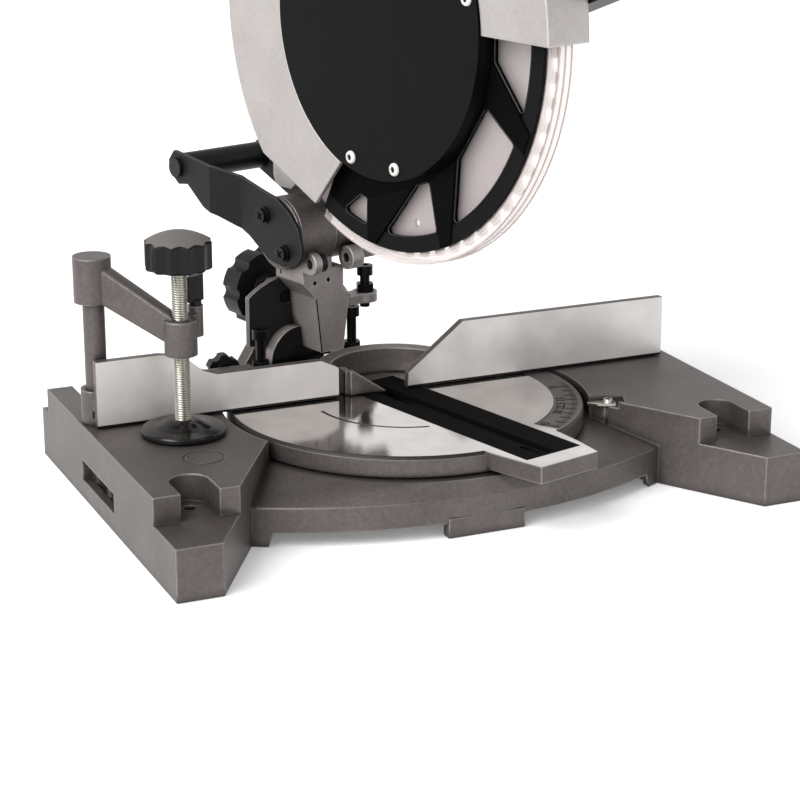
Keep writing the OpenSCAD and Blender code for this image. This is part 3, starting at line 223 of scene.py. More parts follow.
def per_mm(feature):
    """Noise scale whose features are about this many millimetres across."""
    return 1.0 / (feature * MM)


def edges(tree, rounding):
    """The rounded normal, a mask that is 1 on outward edges, painted paler as highlight and wear, and one
    that is 1 in corners, painted darker as shade.
    """
    rounded = add(tree, "ShaderNodeBevel", {"samples": 6, "Radius": rounding * MM})
    flat = add(tree, "ShaderNodeNewGeometry")
    agree = add(tree, "ShaderNodeVectorMath", {"operation": "DOT_PRODUCT"},
                {0: rounded.outputs["Normal"], 1: flat.outputs["Normal"]})
    bent = add(tree, "ShaderNodeMapRange", {"From Min": 0.98, "From Max": 0.80},
               {"Value": agree.outputs["Value"]})
    air = add(tree, "ShaderNodeAmbientOcclusion", {"samples": 8, "Distance": CORNER_REACH * MM})
    outward = add(tree, "ShaderNodeMapRange", {"From Min": 0.75, "From Max": 0.95},
                  {"Value": air.outputs["AO"]})
    # Where the occlusion ray is blocked the spot is a corner, which is painted darker as shade.
    corner_shade_mask = add(tree, "ShaderNodeMapRange", {"From Min": 0.9, "From Max": 0.35},
                 {"Value": air.outputs["AO"]})
    # Outward edges are painted paler, partly as wear and partly as painted highlight.
    mask = add(tree, "ShaderNodeMath", {"operation": "MULTIPLY"},
               {0: bent.outputs[0], 1: outward.outputs[0]})
    return rounded.outputs["Normal"], mask.outputs[0], corner_shade_mask.outputs[0]


# %% [markdown]
# ** Powder-coated die-cast aluminium.** The base, table, column and head are castings under a
# warm grey coat with metal flake. The coat is finely pebbled, so highlights are broad. The flow
# of metal into the die leaves slow clouds in the tone. Outward edges are painted paler, partly as
# wear where the coat is thin and hands polish it and partly as painted highlight, and corners are
# painted darker as shade. The head's guard has the same coat in bright silver, and the column a
# tone between the two, a paler copy of the grey painted lighter for the light that falls on it.

# %% Powder-coated casting
CAST_PEBBLE = 1.3
CAST_MOTTLE, CAST_CLOUD = 3.2, 40.0
CAST_ROUND = 2.4
PEBBLE_STRENGTH, PEBBLE_HEIGHT = 0.8, 0.3
CORNER_SHADE = "#373332"
COAT_METAL, COAT_ROUGH = 0.55, 0.43


def coat_nodes(tree, place, shade, grey, edge_wear_and_highlight):
    """Colour and normal of the coated casting, for the materials that show it."""
    pebble = add(tree, "ShaderNodeTexNoise", {"Scale": per_mm(CAST_PEBBLE), "Detail": 3.0},
                 {"Vector": place.outputs["Object"]})
    cloud = add(tree, "ShaderNodeTexNoise",
                {"Scale": per_mm(CAST_CLOUD), "Detail": 4.0, "Roughness": 0.62},
                {"Vector": place.outputs["Object"]})
    mottle = add(tree, "ShaderNodeTexNoise",
                 {"Scale": per_mm(CAST_MOTTLE), "Detail": 3.0, "Roughness": 0.7},
                 {"Vector": place.outputs["Object"]})
    flow = add(tree, "ShaderNodeMath", {"operation": "ADD"},
               {0: cloud.outputs["Fac"], 1: mottle.outputs["Fac"]})
    spread = add(tree, "ShaderNodeMapRange", {"From Min": 0.55, "From Max": 1.45},
                 {"Value": flow.outputs[0]})
    tone = add(tree, "ShaderNodeMix", {"data_type": "RGBA", 6: hex_colour(shade), 7: hex_colour(grey)},
               {0: spread.outputs[0]})
    normal, outer, inner = edges(tree, CAST_ROUND)
    # Corners are painted darker as shade, then outward edges paler as wear and painted highlight.
    painted_corner_shade = add(tree, "ShaderNodeMix", {"data_type": "RGBA", 7: hex_colour(CORNER_SHADE)},
                {0: inner, 6: tone.outputs[2]})
    colour = add(tree, "ShaderNodeMix", {"data_type": "RGBA", 7: hex_colour(edge_wear_and_highlight)},
                 {0: outer, 6: painted_corner_shade.outputs[2]})
    bump = add(tree, "ShaderNodeBump", {"Strength": PEBBLE_STRENGTH, "Distance": PEBBLE_HEIGHT * MM},
               {"Height": pebble.outputs["Fac"], "Normal": normal})
    return colour.outputs[2], bump.outputs["Normal"]


def coated_casting(name, shade, grey, edge_wear_and_highlight):
    """A casting that is coated all over."""
    made, tree, shader, place = new_material(name)
    colour, normal = coat_nodes(tree, place, shade, grey, edge_wear_and_highlight)
    wire(tree, shader, Base_Color=colour, Normal=normal)
    shader.inputs["Metallic"].default_value = COAT_METAL
    shader.inputs["Roughness"].default_value = COAT_ROUGH
    return made


# The third colour of each coat is for its outward edges: wear and painted highlight.
GREY_COAT = ("#4a4443", "#68625f", "#9a9491")
# The column's coat is the grey coat made paler: painted light for the light that falls on the column.
COLUMN_PAINTED_LIGHT_COAT = ("#837d7b", "#a39d9a", "#c2bcb9")
SILVER_COAT = ("#9f9a98", "#b4afac", "#d6d2cf")
cast_alloy = coated_casting("powder_coated_die_cast_aluminium", *GREY_COAT)
silver_alloy = coated_casting("silver_powder_coated_die_cast_aluminium", *SILVER_COAT)
print("casting coats made")

# %% [markdown]
# **Milled aluminium.** The fence faces and the table top are machined bright. The cutter leaves
# fine parallel lines, which at half a millimetre are too fine to see singly: they only soften
# the reflection. Slow clouds of tone are what the eye catches, from handling and oil.

# %% Milled aluminium
MILL_BRIGHT, MILL_DULL = "#dedad7", "#c3bfbd"
MILL_SPACING, MILL_LENGTH = 0.5, 60.0
MILL_CLOUD = 42.0
MILL_CUT, MILL_CUT_DEPTH = 0.45, 0.02


def mill_nodes(tree, place, turn, low_rough, high_rough):
    """Colour, roughness and normal of a milled face whose lines run along the turned X axis."""
    stretch = add(tree, "ShaderNodeMapping",
                  {"Rotation": (0, 0, turn), "Scale": (MILL_SPACING / MILL_LENGTH, 1, 1)},
                  {"Vector": place.outputs["Object"]})
    lines = add(tree, "ShaderNodeTexNoise", {"Scale": per_mm(MILL_SPACING), "Detail": 2.0},
                {"Vector": stretch.outputs[0]})
    cloud = add(tree, "ShaderNodeTexNoise", {"Scale": per_mm(MILL_CLOUD), "Detail": 3.0},
                {"Vector": place.outputs["Object"]})
    handled = add(tree, "ShaderNodeMapRange", {"From Min": 0.3, "From Max": 0.7},
                  {"Value": cloud.outputs["Fac"]})
    colour = add(tree, "ShaderNodeMix",
                 {"data_type": "RGBA", 6: hex_colour(MILL_DULL), 7: hex_colour(MILL_BRIGHT)},
                 {0: handled.outputs[0]})
    rough = add(tree, "ShaderNodeMapRange", {"To Min": low_rough, "To Max": high_rough},
                {"Value": lines.outputs["Fac"]})
    bump = add(tree, "ShaderNodeBump", {"Strength": MILL_CUT, "Distance": MILL_CUT_DEPTH * MM},
               {"Height": lines.outputs["Fac"]})
    return colour.outputs[2], rough.outputs[0], bump.outputs["Normal"]


# %% [markdown]
# The turntable and the fences are castings with only some faces milled. A mask picks those faces
# by the way they look, up for the table and forward for the fences, and mixes the two finishes.
# It reads the piece's own coordinates, so it turns with the piece. The slope round the table's
# rim is left rough and painted dark as shade, and the low step along the foot of each fence is
# painted near black as the shadow of the gap under the fence.


# %% Castings with finished faces
RIM_DEPTH, RIM_SLOPE, RIM_SPREAD = 2.5 * MM, 0.68, 0.2
FENCE_SHADOW_BAND = 2.6 * MM
ALIGNED = 0.9


def facing_mask(tree, place, looks, beyond):
    """1 on the faces that look along a direction and lie beyond a distance along it."""
    faces = add(tree, "ShaderNodeVectorMath", {"operation": "DOT_PRODUCT", 1: looks},
                {0: place.outputs["Normal"]})
    aligned = add(tree, "ShaderNodeMath", {"operation": "GREATER_THAN", 1: ALIGNED},
                  {0: faces.outputs["Value"]})
    along = add(tree, "ShaderNodeVectorMath", {"operation": "DOT_PRODUCT", 1: looks},
                {0: place.outputs["Object"]})
    past = add(tree, "ShaderNodeMath", {"operation": "GREATER_THAN", 1: beyond},
               {0: along.outputs["Value"]})
    mask = add(tree, "ShaderNodeMath", {"operation": "MULTIPLY"},
               {0: aligned.outputs[0], 1: past.outputs[0]})
    return mask.outputs[0], faces.outputs["Value"], along.outputs["Value"]


def faced_casting(name, looks, beyond, turn, face_rough, face_metal, rim_shade=None, step=None):
    """Coated casting whose faces that look one way are milled."""
    made, tree, shader, place = new_material(name)
    mask, faces, along = facing_mask(tree, place, looks, beyond)
    coat, coat_normal = coat_nodes(tree, place, *GREY_COAT)
    # The slope round the table's rim is painted dark as shade.
    if rim_shade:
        sloped = add(tree, "ShaderNodeMath", {"operation": "COMPARE", 1: RIM_SLOPE, 2: RIM_SPREAD},
                     {0: faces})
        above = add(tree, "ShaderNodeMath", {"operation": "GREATER_THAN", 1: beyond - RIM_DEPTH},
                    {0: along})
        slope = add(tree, "ShaderNodeMath", {"operation": "MULTIPLY"},
                    {0: sloped.outputs[0], 1: above.outputs[0]})
        coat = add(tree, "ShaderNodeMix", {"data_type": "RGBA", 7: hex_colour(rim_shade)},
                   {0: slope.outputs[0], 6: coat}).outputs[2]
    bright, bright_rough, bright_normal = mill_nodes(tree, place, turn, *face_rough)
    # The low band along the fence's foot is painted near black: a painted shadow of the gap under the fence.
    if step:
        height = add(tree, "ShaderNodeSeparateXYZ", links={"Vector": place.outputs["Object"]})
        low = add(tree, "ShaderNodeMath", {"operation": "LESS_THAN", 1: TABLE_TOP + FENCE_SHADOW_BAND},
                  {0: height.outputs["Z"]})
        bright = add(tree, "ShaderNodeMix", {"data_type": "RGBA", 7: hex_colour(step)},
                     {0: low.outputs[0], 6: bright}).outputs[2]
    colour = add(tree, "ShaderNodeMix", {"data_type": "RGBA"}, {0: mask, 6: coat, 7: bright})
    metal = add(tree, "ShaderNodeMapRange", {"To Min": COAT_METAL, "To Max": face_metal},
                {"Value": mask})
    rough = add(tree, "ShaderNodeMix", {"data_type": "FLOAT", 2: COAT_ROUGH},
                {0: mask, 3: bright_rough})
    normal = add(tree, "ShaderNodeMix", {"data_type": "VECTOR"},
                 {0: mask, 4: coat_normal, 5: bright_normal})
    wire(tree, shader, Base_Color=colour.outputs[2], Metallic=metal.outputs[0],
         Roughness=rough.outputs[0], Normal=normal.outputs[1])
    return made


FORWARD = Vector((0, -1, 0))
TOP_MARGIN = 0.3 * MM
FENCE_FACE_LIMIT = 24 * MM
# The table's rim slope is painted dark as shade.
table_alloy = faced_casting("turntable_casting_with_milled_top", UP, TABLE_TOP - TOP_MARGIN, -MITRE,
                            (0.07, 0.11), 1.0, rim_shade="#2a2727")
# The fence's foot band is painted near black as shadow.
fence_alloy = faced_casting("fence_casting_with_milled_face", FORWARD, -FENCE_FACE_LIMIT, 0.0,
                            (0.34, 0.44), 0.6, step="#171515")
print("milled faces made")

# %% [markdown]
# The column is masked in two coats. Its neck has a paler coat, painted lighter for the light that
# falls on it, and its hinge barrel is as dark as the base, so the darker coat goes where a spot is
# near the hinge's axis. The front of the bevel hub, low on the column, is blackened, and so is the
# front of the bevel plate behind it.

# %% Column and bevel plate
HINGE_V, HINGE_Z, BARREL_R = 134.0, 106.7, 29.5
HUB_FACE_V = 136.0
BLACKENED = "#131212"
NO_LIMIT = -1.0
column_alloy, tree, shader, place = new_material("column_casting_with_painted_light_neck")
light, light_normal = coat_nodes(tree, place, *COLUMN_PAINTED_LIGHT_COAT)
dark, _ = coat_nodes(tree, place, *GREY_COAT)
offset = add(tree, "ShaderNodeVectorMath", {"operation": "SUBTRACT", 1: at_table(0, HINGE_V, HINGE_Z)},
             {0: place.outputs["Object"]})
sideways = add(tree, "ShaderNodeVectorMath", {"operation": "PROJECT", 1: ACROSS},
               {0: offset.outputs[0]})
spoke = add(tree, "ShaderNodeVectorMath", {"operation": "DISTANCE"},
            {0: offset.outputs[0], 1: sideways.outputs[0]})
barrel = add(tree, "ShaderNodeMath", {"operation": "LESS_THAN", 1: BARREL_R * MM},
             {0: spoke.outputs["Value"]})
# The neck's paler coat is painted light; the barrel keeps the base's grey.
coat = add(tree, "ShaderNodeMix", {"data_type": "RGBA"}, {0: barrel.outputs[0], 6: light, 7: dark})
front, _, along = facing_mask(tree, place, -REARWARD, NO_LIMIT)
behind = add(tree, "ShaderNodeMath", {"operation": "LESS_THAN", 1: -HUB_FACE_V * MM}, {0: along})
hub = add(tree, "ShaderNodeMath", {"operation": "MULTIPLY"}, {0: front, 1: behind.outputs[0]})
colour = add(tree, "ShaderNodeMix", {"data_type": "RGBA", 7: hex_colour(BLACKENED)},
             {0: hub.outputs[0], 6: coat.outputs[2]})
wire(tree, shader, Base_Color=colour.outputs[2], Normal=light_normal)
shader.inputs["Metallic"].default_value = COAT_METAL
shader.inputs["Roughness"].default_value = COAT_ROUGH

plate_alloy, tree, shader, place = new_material("casting_with_blackened_face")
front, _, _ = facing_mask(tree, place, -REARWARD, NO_LIMIT)
coat, normal = coat_nodes(tree, place, *GREY_COAT)
colour = add(tree, "ShaderNodeMix", {"data_type": "RGBA", 7: hex_colour(BLACKENED)}, {0: front, 6: coat})
wire(tree, shader, Base_Color=colour.outputs[2], Normal=normal)
shader.inputs["Roughness"].default_value = 0.5
shader.inputs["Specular IOR Level"].default_value = 0.3
print("column and plate coats made")

# %% [markdown]
# **Moulded nylon and ABS.** Knobs, handles, the guard frame and the throat insert are black
# mouldings. The tool is spark-eroded, which leaves a grain of about half a millimetre, so the
# surface is dark with a wide, soft sheen rather than a sharp highlight. The insert is rubbed dull
# by work passing over it, so it gives back almost no light.


# %% Moulded plastic
MOULD_GRAIN, MOULD_CLOUD = 0.5, 30.0
MOULD_ROUND = 0.8
GRAIN_STRENGTH, GRAIN_HEIGHT = 0.2, 0.05


def moulded(name, code, light_code, roughness, gloss=0.5):
    """Moulded plastic with a spark-eroded grain."""
    made, tree, shader, place = new_material(name)
    grit = add(tree, "ShaderNodeTexNoise", {"Scale": per_mm(MOULD_GRAIN), "Detail": 2.0},
               {"Vector": place.outputs["Object"]})
    cloud = add(tree, "ShaderNodeTexNoise", {"Scale": per_mm(MOULD_CLOUD), "Detail": 2.0},
                {"Vector": place.outputs["Object"]})
    tint = add(tree, "ShaderNodeMix",
               {"data_type": "RGBA", 6: hex_colour(code), 7: hex_colour(light_code)},
               {0: cloud.outputs["Fac"]})
    rounded = add(tree, "ShaderNodeBevel", {"samples": 4, "Radius": MOULD_ROUND * MM})
    bump = add(tree, "ShaderNodeBump", {"Strength": GRAIN_STRENGTH, "Distance": GRAIN_HEIGHT * MM},
               {"Height": grit.outputs["Fac"], "Normal": rounded.outputs["Normal"]})
    wire(tree, shader, Base_Color=tint.outputs[2], Normal=bump.outputs["Normal"])
    shader.inputs["Roughness"].default_value = roughness
    shader.inputs["IOR"].default_value = 1.53
    shader.inputs["Specular IOR Level"].default_value = gloss
    return made


black_nylon = moulded("moulded_black_nylon", "#0b0b0c", "#121213", 0.42, 0.22)
hub_nylon = moulded("moulded_black_guard_nylon", "#080808", "#0c0c0c", 0.5, 0.06)
foot_nylon = moulded("moulded_glossy_black_nylon", "#080606", "#0e0b0b", 0.16, 0.4)
insert_abs = moulded("moulded_black_abs_insert", "#060505", "#090808", 0.8, 0.05)
motor_nylon = moulded("moulded_grey_glass_filled_nylon", "#333335", "#3d3d40", 0.5)
red_abs = moulded("moulded_red_abs", "#a81a18", "#b8211d", 0.35)
grip_nylon = moulded("moulded_polished_black_nylon", "#070708", "#0c0c0d", 0.3, 0.2)
# A grey for the knob's crown: a painted sheen on top of the black knob.
crown_painted_sheen = moulded("moulded_grey_abs_painted_sheen", "#5d5856", "#6c6765", 0.6, 0.3)
white_nylon = moulded("moulded_white_nylon", "#cfcdc9", "#dbd9d5", 0.4)
print("mouldings made")

# %% [markdown]
# The guard's frame is one black moulding, but its ring is rubbed grey by the stock that lifts it,
# while the web inside the ring keeps the deep black of the mould. A step in the distance from the
# blade's axis parts the two.

# %% Guard frame nylon
RUBBED_R = 157.8
frame_nylon, tree, shader, place = new_material("moulded_black_nylon_with_rubbed_ring")
radius = add(tree, "ShaderNodeVectorMath", {"operation": "DISTANCE", 1: BLADE_AXIS},
             {0: place.outputs["Object"]})
rubbed = add(tree, "ShaderNodeMath", {"operation": "GREATER_THAN", 1: RUBBED_R * MM},
             {0: radius.outputs["Value"]})
grit = add(tree, "ShaderNodeTexNoise", {"Scale": per_mm(MOULD_GRAIN), "Detail": 2.0},
           {"Vector": place.outputs["Object"]})
ring = add(tree, "ShaderNodeMix",
           {"data_type": "RGBA", 6: hex_colour("#131313"), 7: hex_colour("#1a1a1b")},
           {0: grit.outputs["Fac"]})
tint = add(tree, "ShaderNodeMix", {"data_type": "RGBA", 6: hex_colour("#050505")},
           {0: rubbed.outputs[0], 7: ring.outputs[2]})
bump = add(tree, "ShaderNodeBump", {"Strength": GRAIN_STRENGTH, "Distance": GRAIN_HEIGHT * MM},
           {"Height": grit.outputs["Fac"]})
wire(tree, shader, Base_Color=tint.outputs[2], Normal=bump.outputs["Normal"])
shader.inputs["Roughness"].default_value = 0.5
shader.inputs["Specular IOR Level"].default_value = 0.02
print("guard frame nylon made")

# %% [markdown]
# ** Steel.** Screws and the handle plates are black-oxide or black-coated steel, rods and pins
# are bright zinc, and the blade is ground plate with rings left by the grinding wheel. A black
# coat on steel wears to grey along its edges, so the plates use the edge mask, which paints every
# steel's edges paler, partly as that wear and partly as painted highlight. The rings are
# noise read along the distance from the blade's axis.

# %% Steels
STEEL_ROUND = 0.6
STEEL_UNEVEN = 0.08


def steel(name, code, light_code, edge_wear_and_highlight, metallic, roughness, grain, gloss=0.5):
    """Steel with a fine, uneven finish, and edges painted paler as wear and highlight."""
    made, tree, shader, place = new_material(name)
    grit = add(tree, "ShaderNodeTexNoise", {"Scale": per_mm(grain), "Detail": 4.0},
               {"Vector": place.outputs["Object"]})
    tint = add(tree, "ShaderNodeMix",
               {"data_type": "RGBA", 6: hex_colour(code), 7: hex_colour(light_code)},
               {0: grit.outputs["Fac"]})
    normal, outer, _ = edges(tree, STEEL_ROUND)
    # Edges are painted paler, partly as wear and partly as painted highlight.
    colour = add(tree, "ShaderNodeMix", {"data_type": "RGBA", 7: hex_colour(edge_wear_and_highlight)},
                 {0: outer, 6: tint.outputs[2]})
    rough = add(tree, "ShaderNodeMapRange",
                {"To Min": roughness - STEEL_UNEVEN, "To Max": roughness + STEEL_UNEVEN},
                {"Value": grit.outputs["Fac"]})
    wire(tree, shader, Base_Color=colour.outputs[2], Roughness=rough.outputs[0], Normal=normal)
    shader.inputs["Metallic"].default_value = metallic
    shader.inputs["Specular IOR Level"].default_value = gloss
    return made


black_steel = steel("black_oxide_steel", "#090808", "#100f0f", "#3a3839", 0.3, 0.36, 3.0, 0.2)
coated_steel = steel("black_coated_steel_plate", "#1a1819", "#211f20", "#6f6c6c", 0.2, 0.5, 3.0, 0.15)
zinc_steel = steel("zinc_plated_steel", "#a9a89f", "#bcbab2", "#d8d6cf", 1.0, 0.3, 2.0)
carbide = steel("ground_carbide", "#8e8c88", "#a5a29d", "#c6c3be", 1.0, 0.35, 0.8)

# %% Ground blade
RING_SPACING, RING_DEPTH = 0.8, 0.02
blade_steel, tree, shader, place = new_material("ground_blade_steel")
radius = add(tree, "ShaderNodeVectorMath", {"operation": "DISTANCE", 1: BLADE_AXIS},
             {0: place.outputs["Object"]})
rings = add(tree, "ShaderNodeTexNoise",
            {"noise_dimensions": "1D", "Scale": per_mm(RING_SPACING), "Detail": 3.0},
            {"W": radius.outputs["Value"]})
tint = add(tree, "ShaderNodeMix",
           {"data_type": "RGBA", 6: hex_colour("#9d9595"), 7: hex_colour("#afa7a7")},
           {0: rings.outputs["Fac"]})
rough = add(tree, "ShaderNodeMapRange", {"To Min": 0.45, "To Max": 0.6}, {"Value": rings.outputs["Fac"]})
bump = add(tree, "ShaderNodeBump", {"Strength": 0.08, "Distance": RING_DEPTH * MM},
           {"Height": rings.outputs["Fac"]})
wire(tree, shader, Base_Color=tint.outputs[2], Roughness=rough.outputs[0], Normal=bump.outputs["Normal"])
shader.inputs["Metallic"].default_value = 0.6
print("steels made")

# %% [markdown]
# **Clear polycarbonate.** The lower guard's shell is a clear moulding, two to three millimetres
# thick. Its flat walls stay clear enough to show the blade. The rim is struck by sawdust, which
# frosts it to a pale film. A film of that kind is mostly see-through, so it is made with alpha:
# full refraction would keep the studio light off the blade behind it.

# %% Clear polycarbonate
HAZE_SIZE = 25.0


def polycarbonate(name, alpha):
    """Clear moulding with a share of pale film, and slow changes in its gloss."""
    made, tree, shader, place = new_material(name)
    haze = add(tree, "ShaderNodeTexNoise", {"Scale": per_mm(HAZE_SIZE), "Detail": 4.0},
               {"Vector": place.outputs["Object"]})
    rough = add(tree, "ShaderNodeMapRange", {"To Min": 0.12, "To Max": 0.26},
                {"Value": haze.outputs["Fac"]})
    wire(tree, shader, Roughness=rough.outputs[0])
    shader.inputs["Base Color"].default_value = hex_colour("#efe5e2")
    shader.inputs["Transmission Weight"].default_value = 0.2
    shader.inputs["Alpha"].default_value = alpha
    shader.inputs["IOR"].default_value = 1.585
    return made


clear_sheet = polycarbonate("clear_moulded_polycarbonate", 0.1)
frosted_sheet = polycarbonate("dust_frosted_polycarbonate", 0.42)
print("clear sheets made")

# %% [markdown]
# Each CAD node takes the finish of its slot in the record. A few nodes share a slot with pieces
# that were finished in another way, so they are named here.

# %% Give every CAD node its finish
finish_of_slot = {
    "cast_alloy": cast_alloy, "milled_alloy": fence_alloy, "black_plastic": black_nylon,
    "motor_plastic": motor_nylon, "red_plastic": red_abs, "white_plastic": white_nylon,
    "black_steel": black_steel, "zinc_steel": zinc_steel, "blade_steel": blade_steel,
    "clear_plastic": clear_sheet}
finish_of_node = {
    "turntable": table_alloy, "bevel_stud": black_steel, "table_insert": insert_abs,
    "upper_guard": silver_alloy, "dust_chute": silver_alloy, "column": column_alloy,
    "clamp_foot": foot_nylon, "guard_frame": frame_nylon, "guard_hub": hub_nylon,
    "handle_plate_left": coated_steel, "handle_plate_right": coated_steel,
    "bevel_plate": plate_alloy}
for entry in frame["record"]["subparts"]:
    name = entry["node"]
    for slot in nodes[name].material_slots:
        slot.material = finish_of_node.get(name, finish_of_slot[entry["material_slot"]])
print("finished", len(nodes), "CAD nodes")

# %% [markdown]
# ## Fine pieces
# One helper turns a bmesh into a finished piece that rides on a body. Two more add a turned box,
# and a skin over rings of points, which are the two ways most of these pieces are shaped.


# %% Piece helper
SHARP_EDGE = math.radians(35)


def piece(name, shape, finish, body, smooth=False):
    """Links a bmesh as a finished piece that moves with a CAD body."""
    mesh = bpy.data.meshes.new(name)
    bmesh.ops.recalc_face_normals(shape, faces=shape.faces)
    shape.to_mesh(mesh)
    shape.free()
    if smooth:
        mesh.shade_smooth()
        mesh.set_sharp_from_angle(angle=SHARP_EDGE)
    made = bpy.data.objects.new(name, mesh)
    bpy.context.scene.collection.objects.link(made)
    mesh.materials.append(finish)
    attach(made, body)
    return made


def box_into(shape, centre, size, turn):
    """Adds a box to a bmesh, turned by a matrix, with its size in millimetres."""
    made = bmesh.ops.create_cube(shape, size=1.0)["verts"]
    bmesh.ops.scale(shape, vec=Vector(size) * MM, verts=made)
    bmesh.ops.transform(shape, matrix=Matrix.Translation(centre) @ turn, verts=made)


def skin(shape, rings):
    """Faces between rings of points, and a cap on the first and the last."""
    for inner, outer in zip(rings, rings[1:]):
        for step in range(len(inner)):
            after = (step + 1) % len(inner)
            shape.faces.new((inner[step], inner[after], outer[after], outer[step]))
    shape.faces.new(rings[0])
    shape.faces.new(rings[-1])


# %% [markdown]
# The mitre scale is cast into the sunk band of the table's rim and filled with black. Lines at
# every degree are thin, those at every five wide, as on the real one, and the common mitre angles
# carry their numbers. They are low bars and letters that stand in the band, a tenth of a
# millimetre high: a cut groove would have to change the CAD mesh.

# %% Mitre scale
BAND_LEVEL = -0.8
SCALE_ZERO, SCALE_FROM, SCALE_TO = -24.0, -4, 47
LINE_OUT, LINE_HIGH = 131.5, 0.2
FINE_LINE, WIDE_LINE = (4.5, 0.3), (8.4, 1.9)
NUMBERS = {0: "0", 15: "15", 22.5: "22.5", 30: "30", 45: "45"}
NUMBER_R, NUMBER_SIZE, NUMBER_STROKE, NUMBER_HIGH = 119.2, 9.5, 0.3, 0.1
scale_ink = moulded("black_filled_engraving", "#191616", "#221f1e", 0.6, 0.2)
scale_lines = bmesh.new()
for degree in range(SCALE_FROM, SCALE_TO + 1):
    length, wide = FINE_LINE if degree % 5 else WIDE_LINE
    angle = math.radians(SCALE_ZERO - degree)
    middle = LINE_OUT - length / 2
    centre = at_table(middle * math.cos(angle), middle * math.sin(angle), BAND_LEVEL)
    box_into(scale_lines, centre, (length, wide, LINE_HIGH), TABLE_TURN @ Matrix.Rotation(angle, 4, "Z"))
piece("scale_lines", scale_lines, scale_ink, "table")

for degree, words in NUMBERS.items():
    letters = bpy.data.curves.new("scale_number_%d" % degree, "FONT")
    letters.body = words
    letters.align_x = "CENTER"
    letters.align_y = "CENTER"
    letters.size = NUMBER_SIZE * MM
    letters.offset = NUMBER_STROKE * MM
    letters.extrude = NUMBER_HIGH * MM
    letters.materials.append(scale_ink)
    number = bpy.data.objects.new(letters.name, letters)
    bpy.context.scene.collection.objects.link(number)
    angle = math.radians(SCALE_ZERO - degree)
    spot = at_table(NUMBER_R * math.cos(angle), NUMBER_R * math.sin(angle), BAND_LEVEL)
    upright = Matrix.Rotation(angle + math.pi / 2, 4, "Z")
    number.matrix_world = Matrix.Translation(spot) @ TABLE_TURN @ upright
    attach(number, "table")
print("mitre scale drawn")

# %% [markdown]
# The pointer carries a red line that reads against the scale. Its screw has a cross recess, drawn
# as a dark cross that stands just proud of the head: its dark is painted shade for the recess.

# %% Pointer line
POINTER_ANGLE, POINTER_LINE_R = math.radians(-24), 143
POINTER_LINE, POINTER_CROSS = (6.5, 1.0, 0.16), (4.6, 1.1, 0.16)
CROSS_TURNS = (math.pi / 4, -math.pi / 4)
pointer_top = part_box("mitre_pointer")[1].z
pointer_line = bmesh.new()
outward = Vector((math.cos(POINTER_ANGLE), math.sin(POINTER_ANGLE), 0))
box_into(pointer_line, outward * POINTER_LINE_R * MM + UP * pointer_top, POINTER_LINE,
         Matrix.Rotation(POINTER_ANGLE, 4, "Z"))
piece("pointer_line", pointer_line, red_abs, "base")
screw_low, screw_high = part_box("pointer_screw")
# The dark cross is painted shade for the recess.
pointer_cross = bmesh.new()
spot = (screw_low + screw_high) / 2
spot.z = screw_high.z
for turn in CROSS_TURNS:
    box_into(pointer_cross, spot, POINTER_CROSS, Matrix.Rotation(turn, 4, "Z"))
piece("pointer_screw_cross", pointer_cross, insert_abs, "base")
print("pointer marked")

# %% [markdown]
# The clamp screw is a rolled thread. The CAD rod is plain, so a threaded one replaces it: rows of
# points climb the axis, and each point's depth follows its place in the turn, with the real lead.
# The crests are painted bright as highlight and the valleys darker as shade.

# %% Clamp screw thread
rod_low, rod_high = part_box("clamp_screw")
ROD_AXIS = (rod_low + rod_high) / 2
ROD_R = (rod_high.x - rod_low.x) / 2
LEAD = 1.75 * MM
THREAD_DEPTH, CREST_SHARE = 1.1 * MM, 0.2
SIDES, ROWS_PER_TURN = 40, 6
thread = bmesh.new()
turns = int((rod_high.z - rod_low.z) / LEAD)
rows = []
for level in range(turns * ROWS_PER_TURN + 1):
    rows.append([])
    for side in range(SIDES):
        around = 2 * math.pi * side / SIDES
        phase = 2 * math.pi * level / ROWS_PER_TURN + around
        reach = ROD_R - THREAD_DEPTH * (0.5 - 0.5 * math.cos(phase))
        spot = (ROD_AXIS.x + reach * math.cos(around), ROD_AXIS.y + reach * math.sin(around),
                rod_low.z + level * LEAD / ROWS_PER_TURN)
        rows[-1].append(thread.verts.new(spot))
skin(thread, rows)

rolled_zinc, tree, shader, place = new_material("rolled_zinc_plated_thread")
offset = add(tree, "ShaderNodeVectorMath", {"operation": "SUBTRACT", 1: ROD_AXIS},
             {0: place.outputs["Object"]})
level_out = add(tree, "ShaderNodeVectorMath", {"operation": "MULTIPLY", 1: (1, 1, 0)},
                {0: offset.outputs[0]})
reach = add(tree, "ShaderNodeVectorMath", {"operation": "LENGTH"}, {0: level_out.outputs[0]})
# Colour by distance from the axis: painted highlight on the crests, painted shade in the valleys.
crest = add(tree, "ShaderNodeMapRange",
            {"From Min": ROD_R - THREAD_DEPTH, "From Max": ROD_R - CREST_SHARE * THREAD_DEPTH},
            {"Value": reach.outputs["Value"]})
tint = add(tree, "ShaderNodeMix",
           {"data_type": "RGBA", 6: hex_colour("#8b887e"), 7: hex_colour("#e2e0d8")},
           {0: crest.outputs[0]})
wire(tree, shader, Base_Color=tint.outputs[2])
shader.inputs["Metallic"].default_value = 1.0
shader.inputs["Roughness"].default_value = 0.28
threaded_rod = piece("clamp_threaded_rod", thread, rolled_zinc, "clamp_spindle",
                     smooth=True)
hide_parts("clamp_screw")
print("thread of", turns, "turns")

# %% [markdown]
# The clamp knob is a black moulding with twelve wide flutes, closed by a matt domed crown that the
# flutes cut into a scalloped edge. The crown's grey is a painted sheen on the top of the black knob.
# Both are one grid of points in polar form: the flute sets how far out each column of the grid
# reaches, and the dome's height follows from that reach.

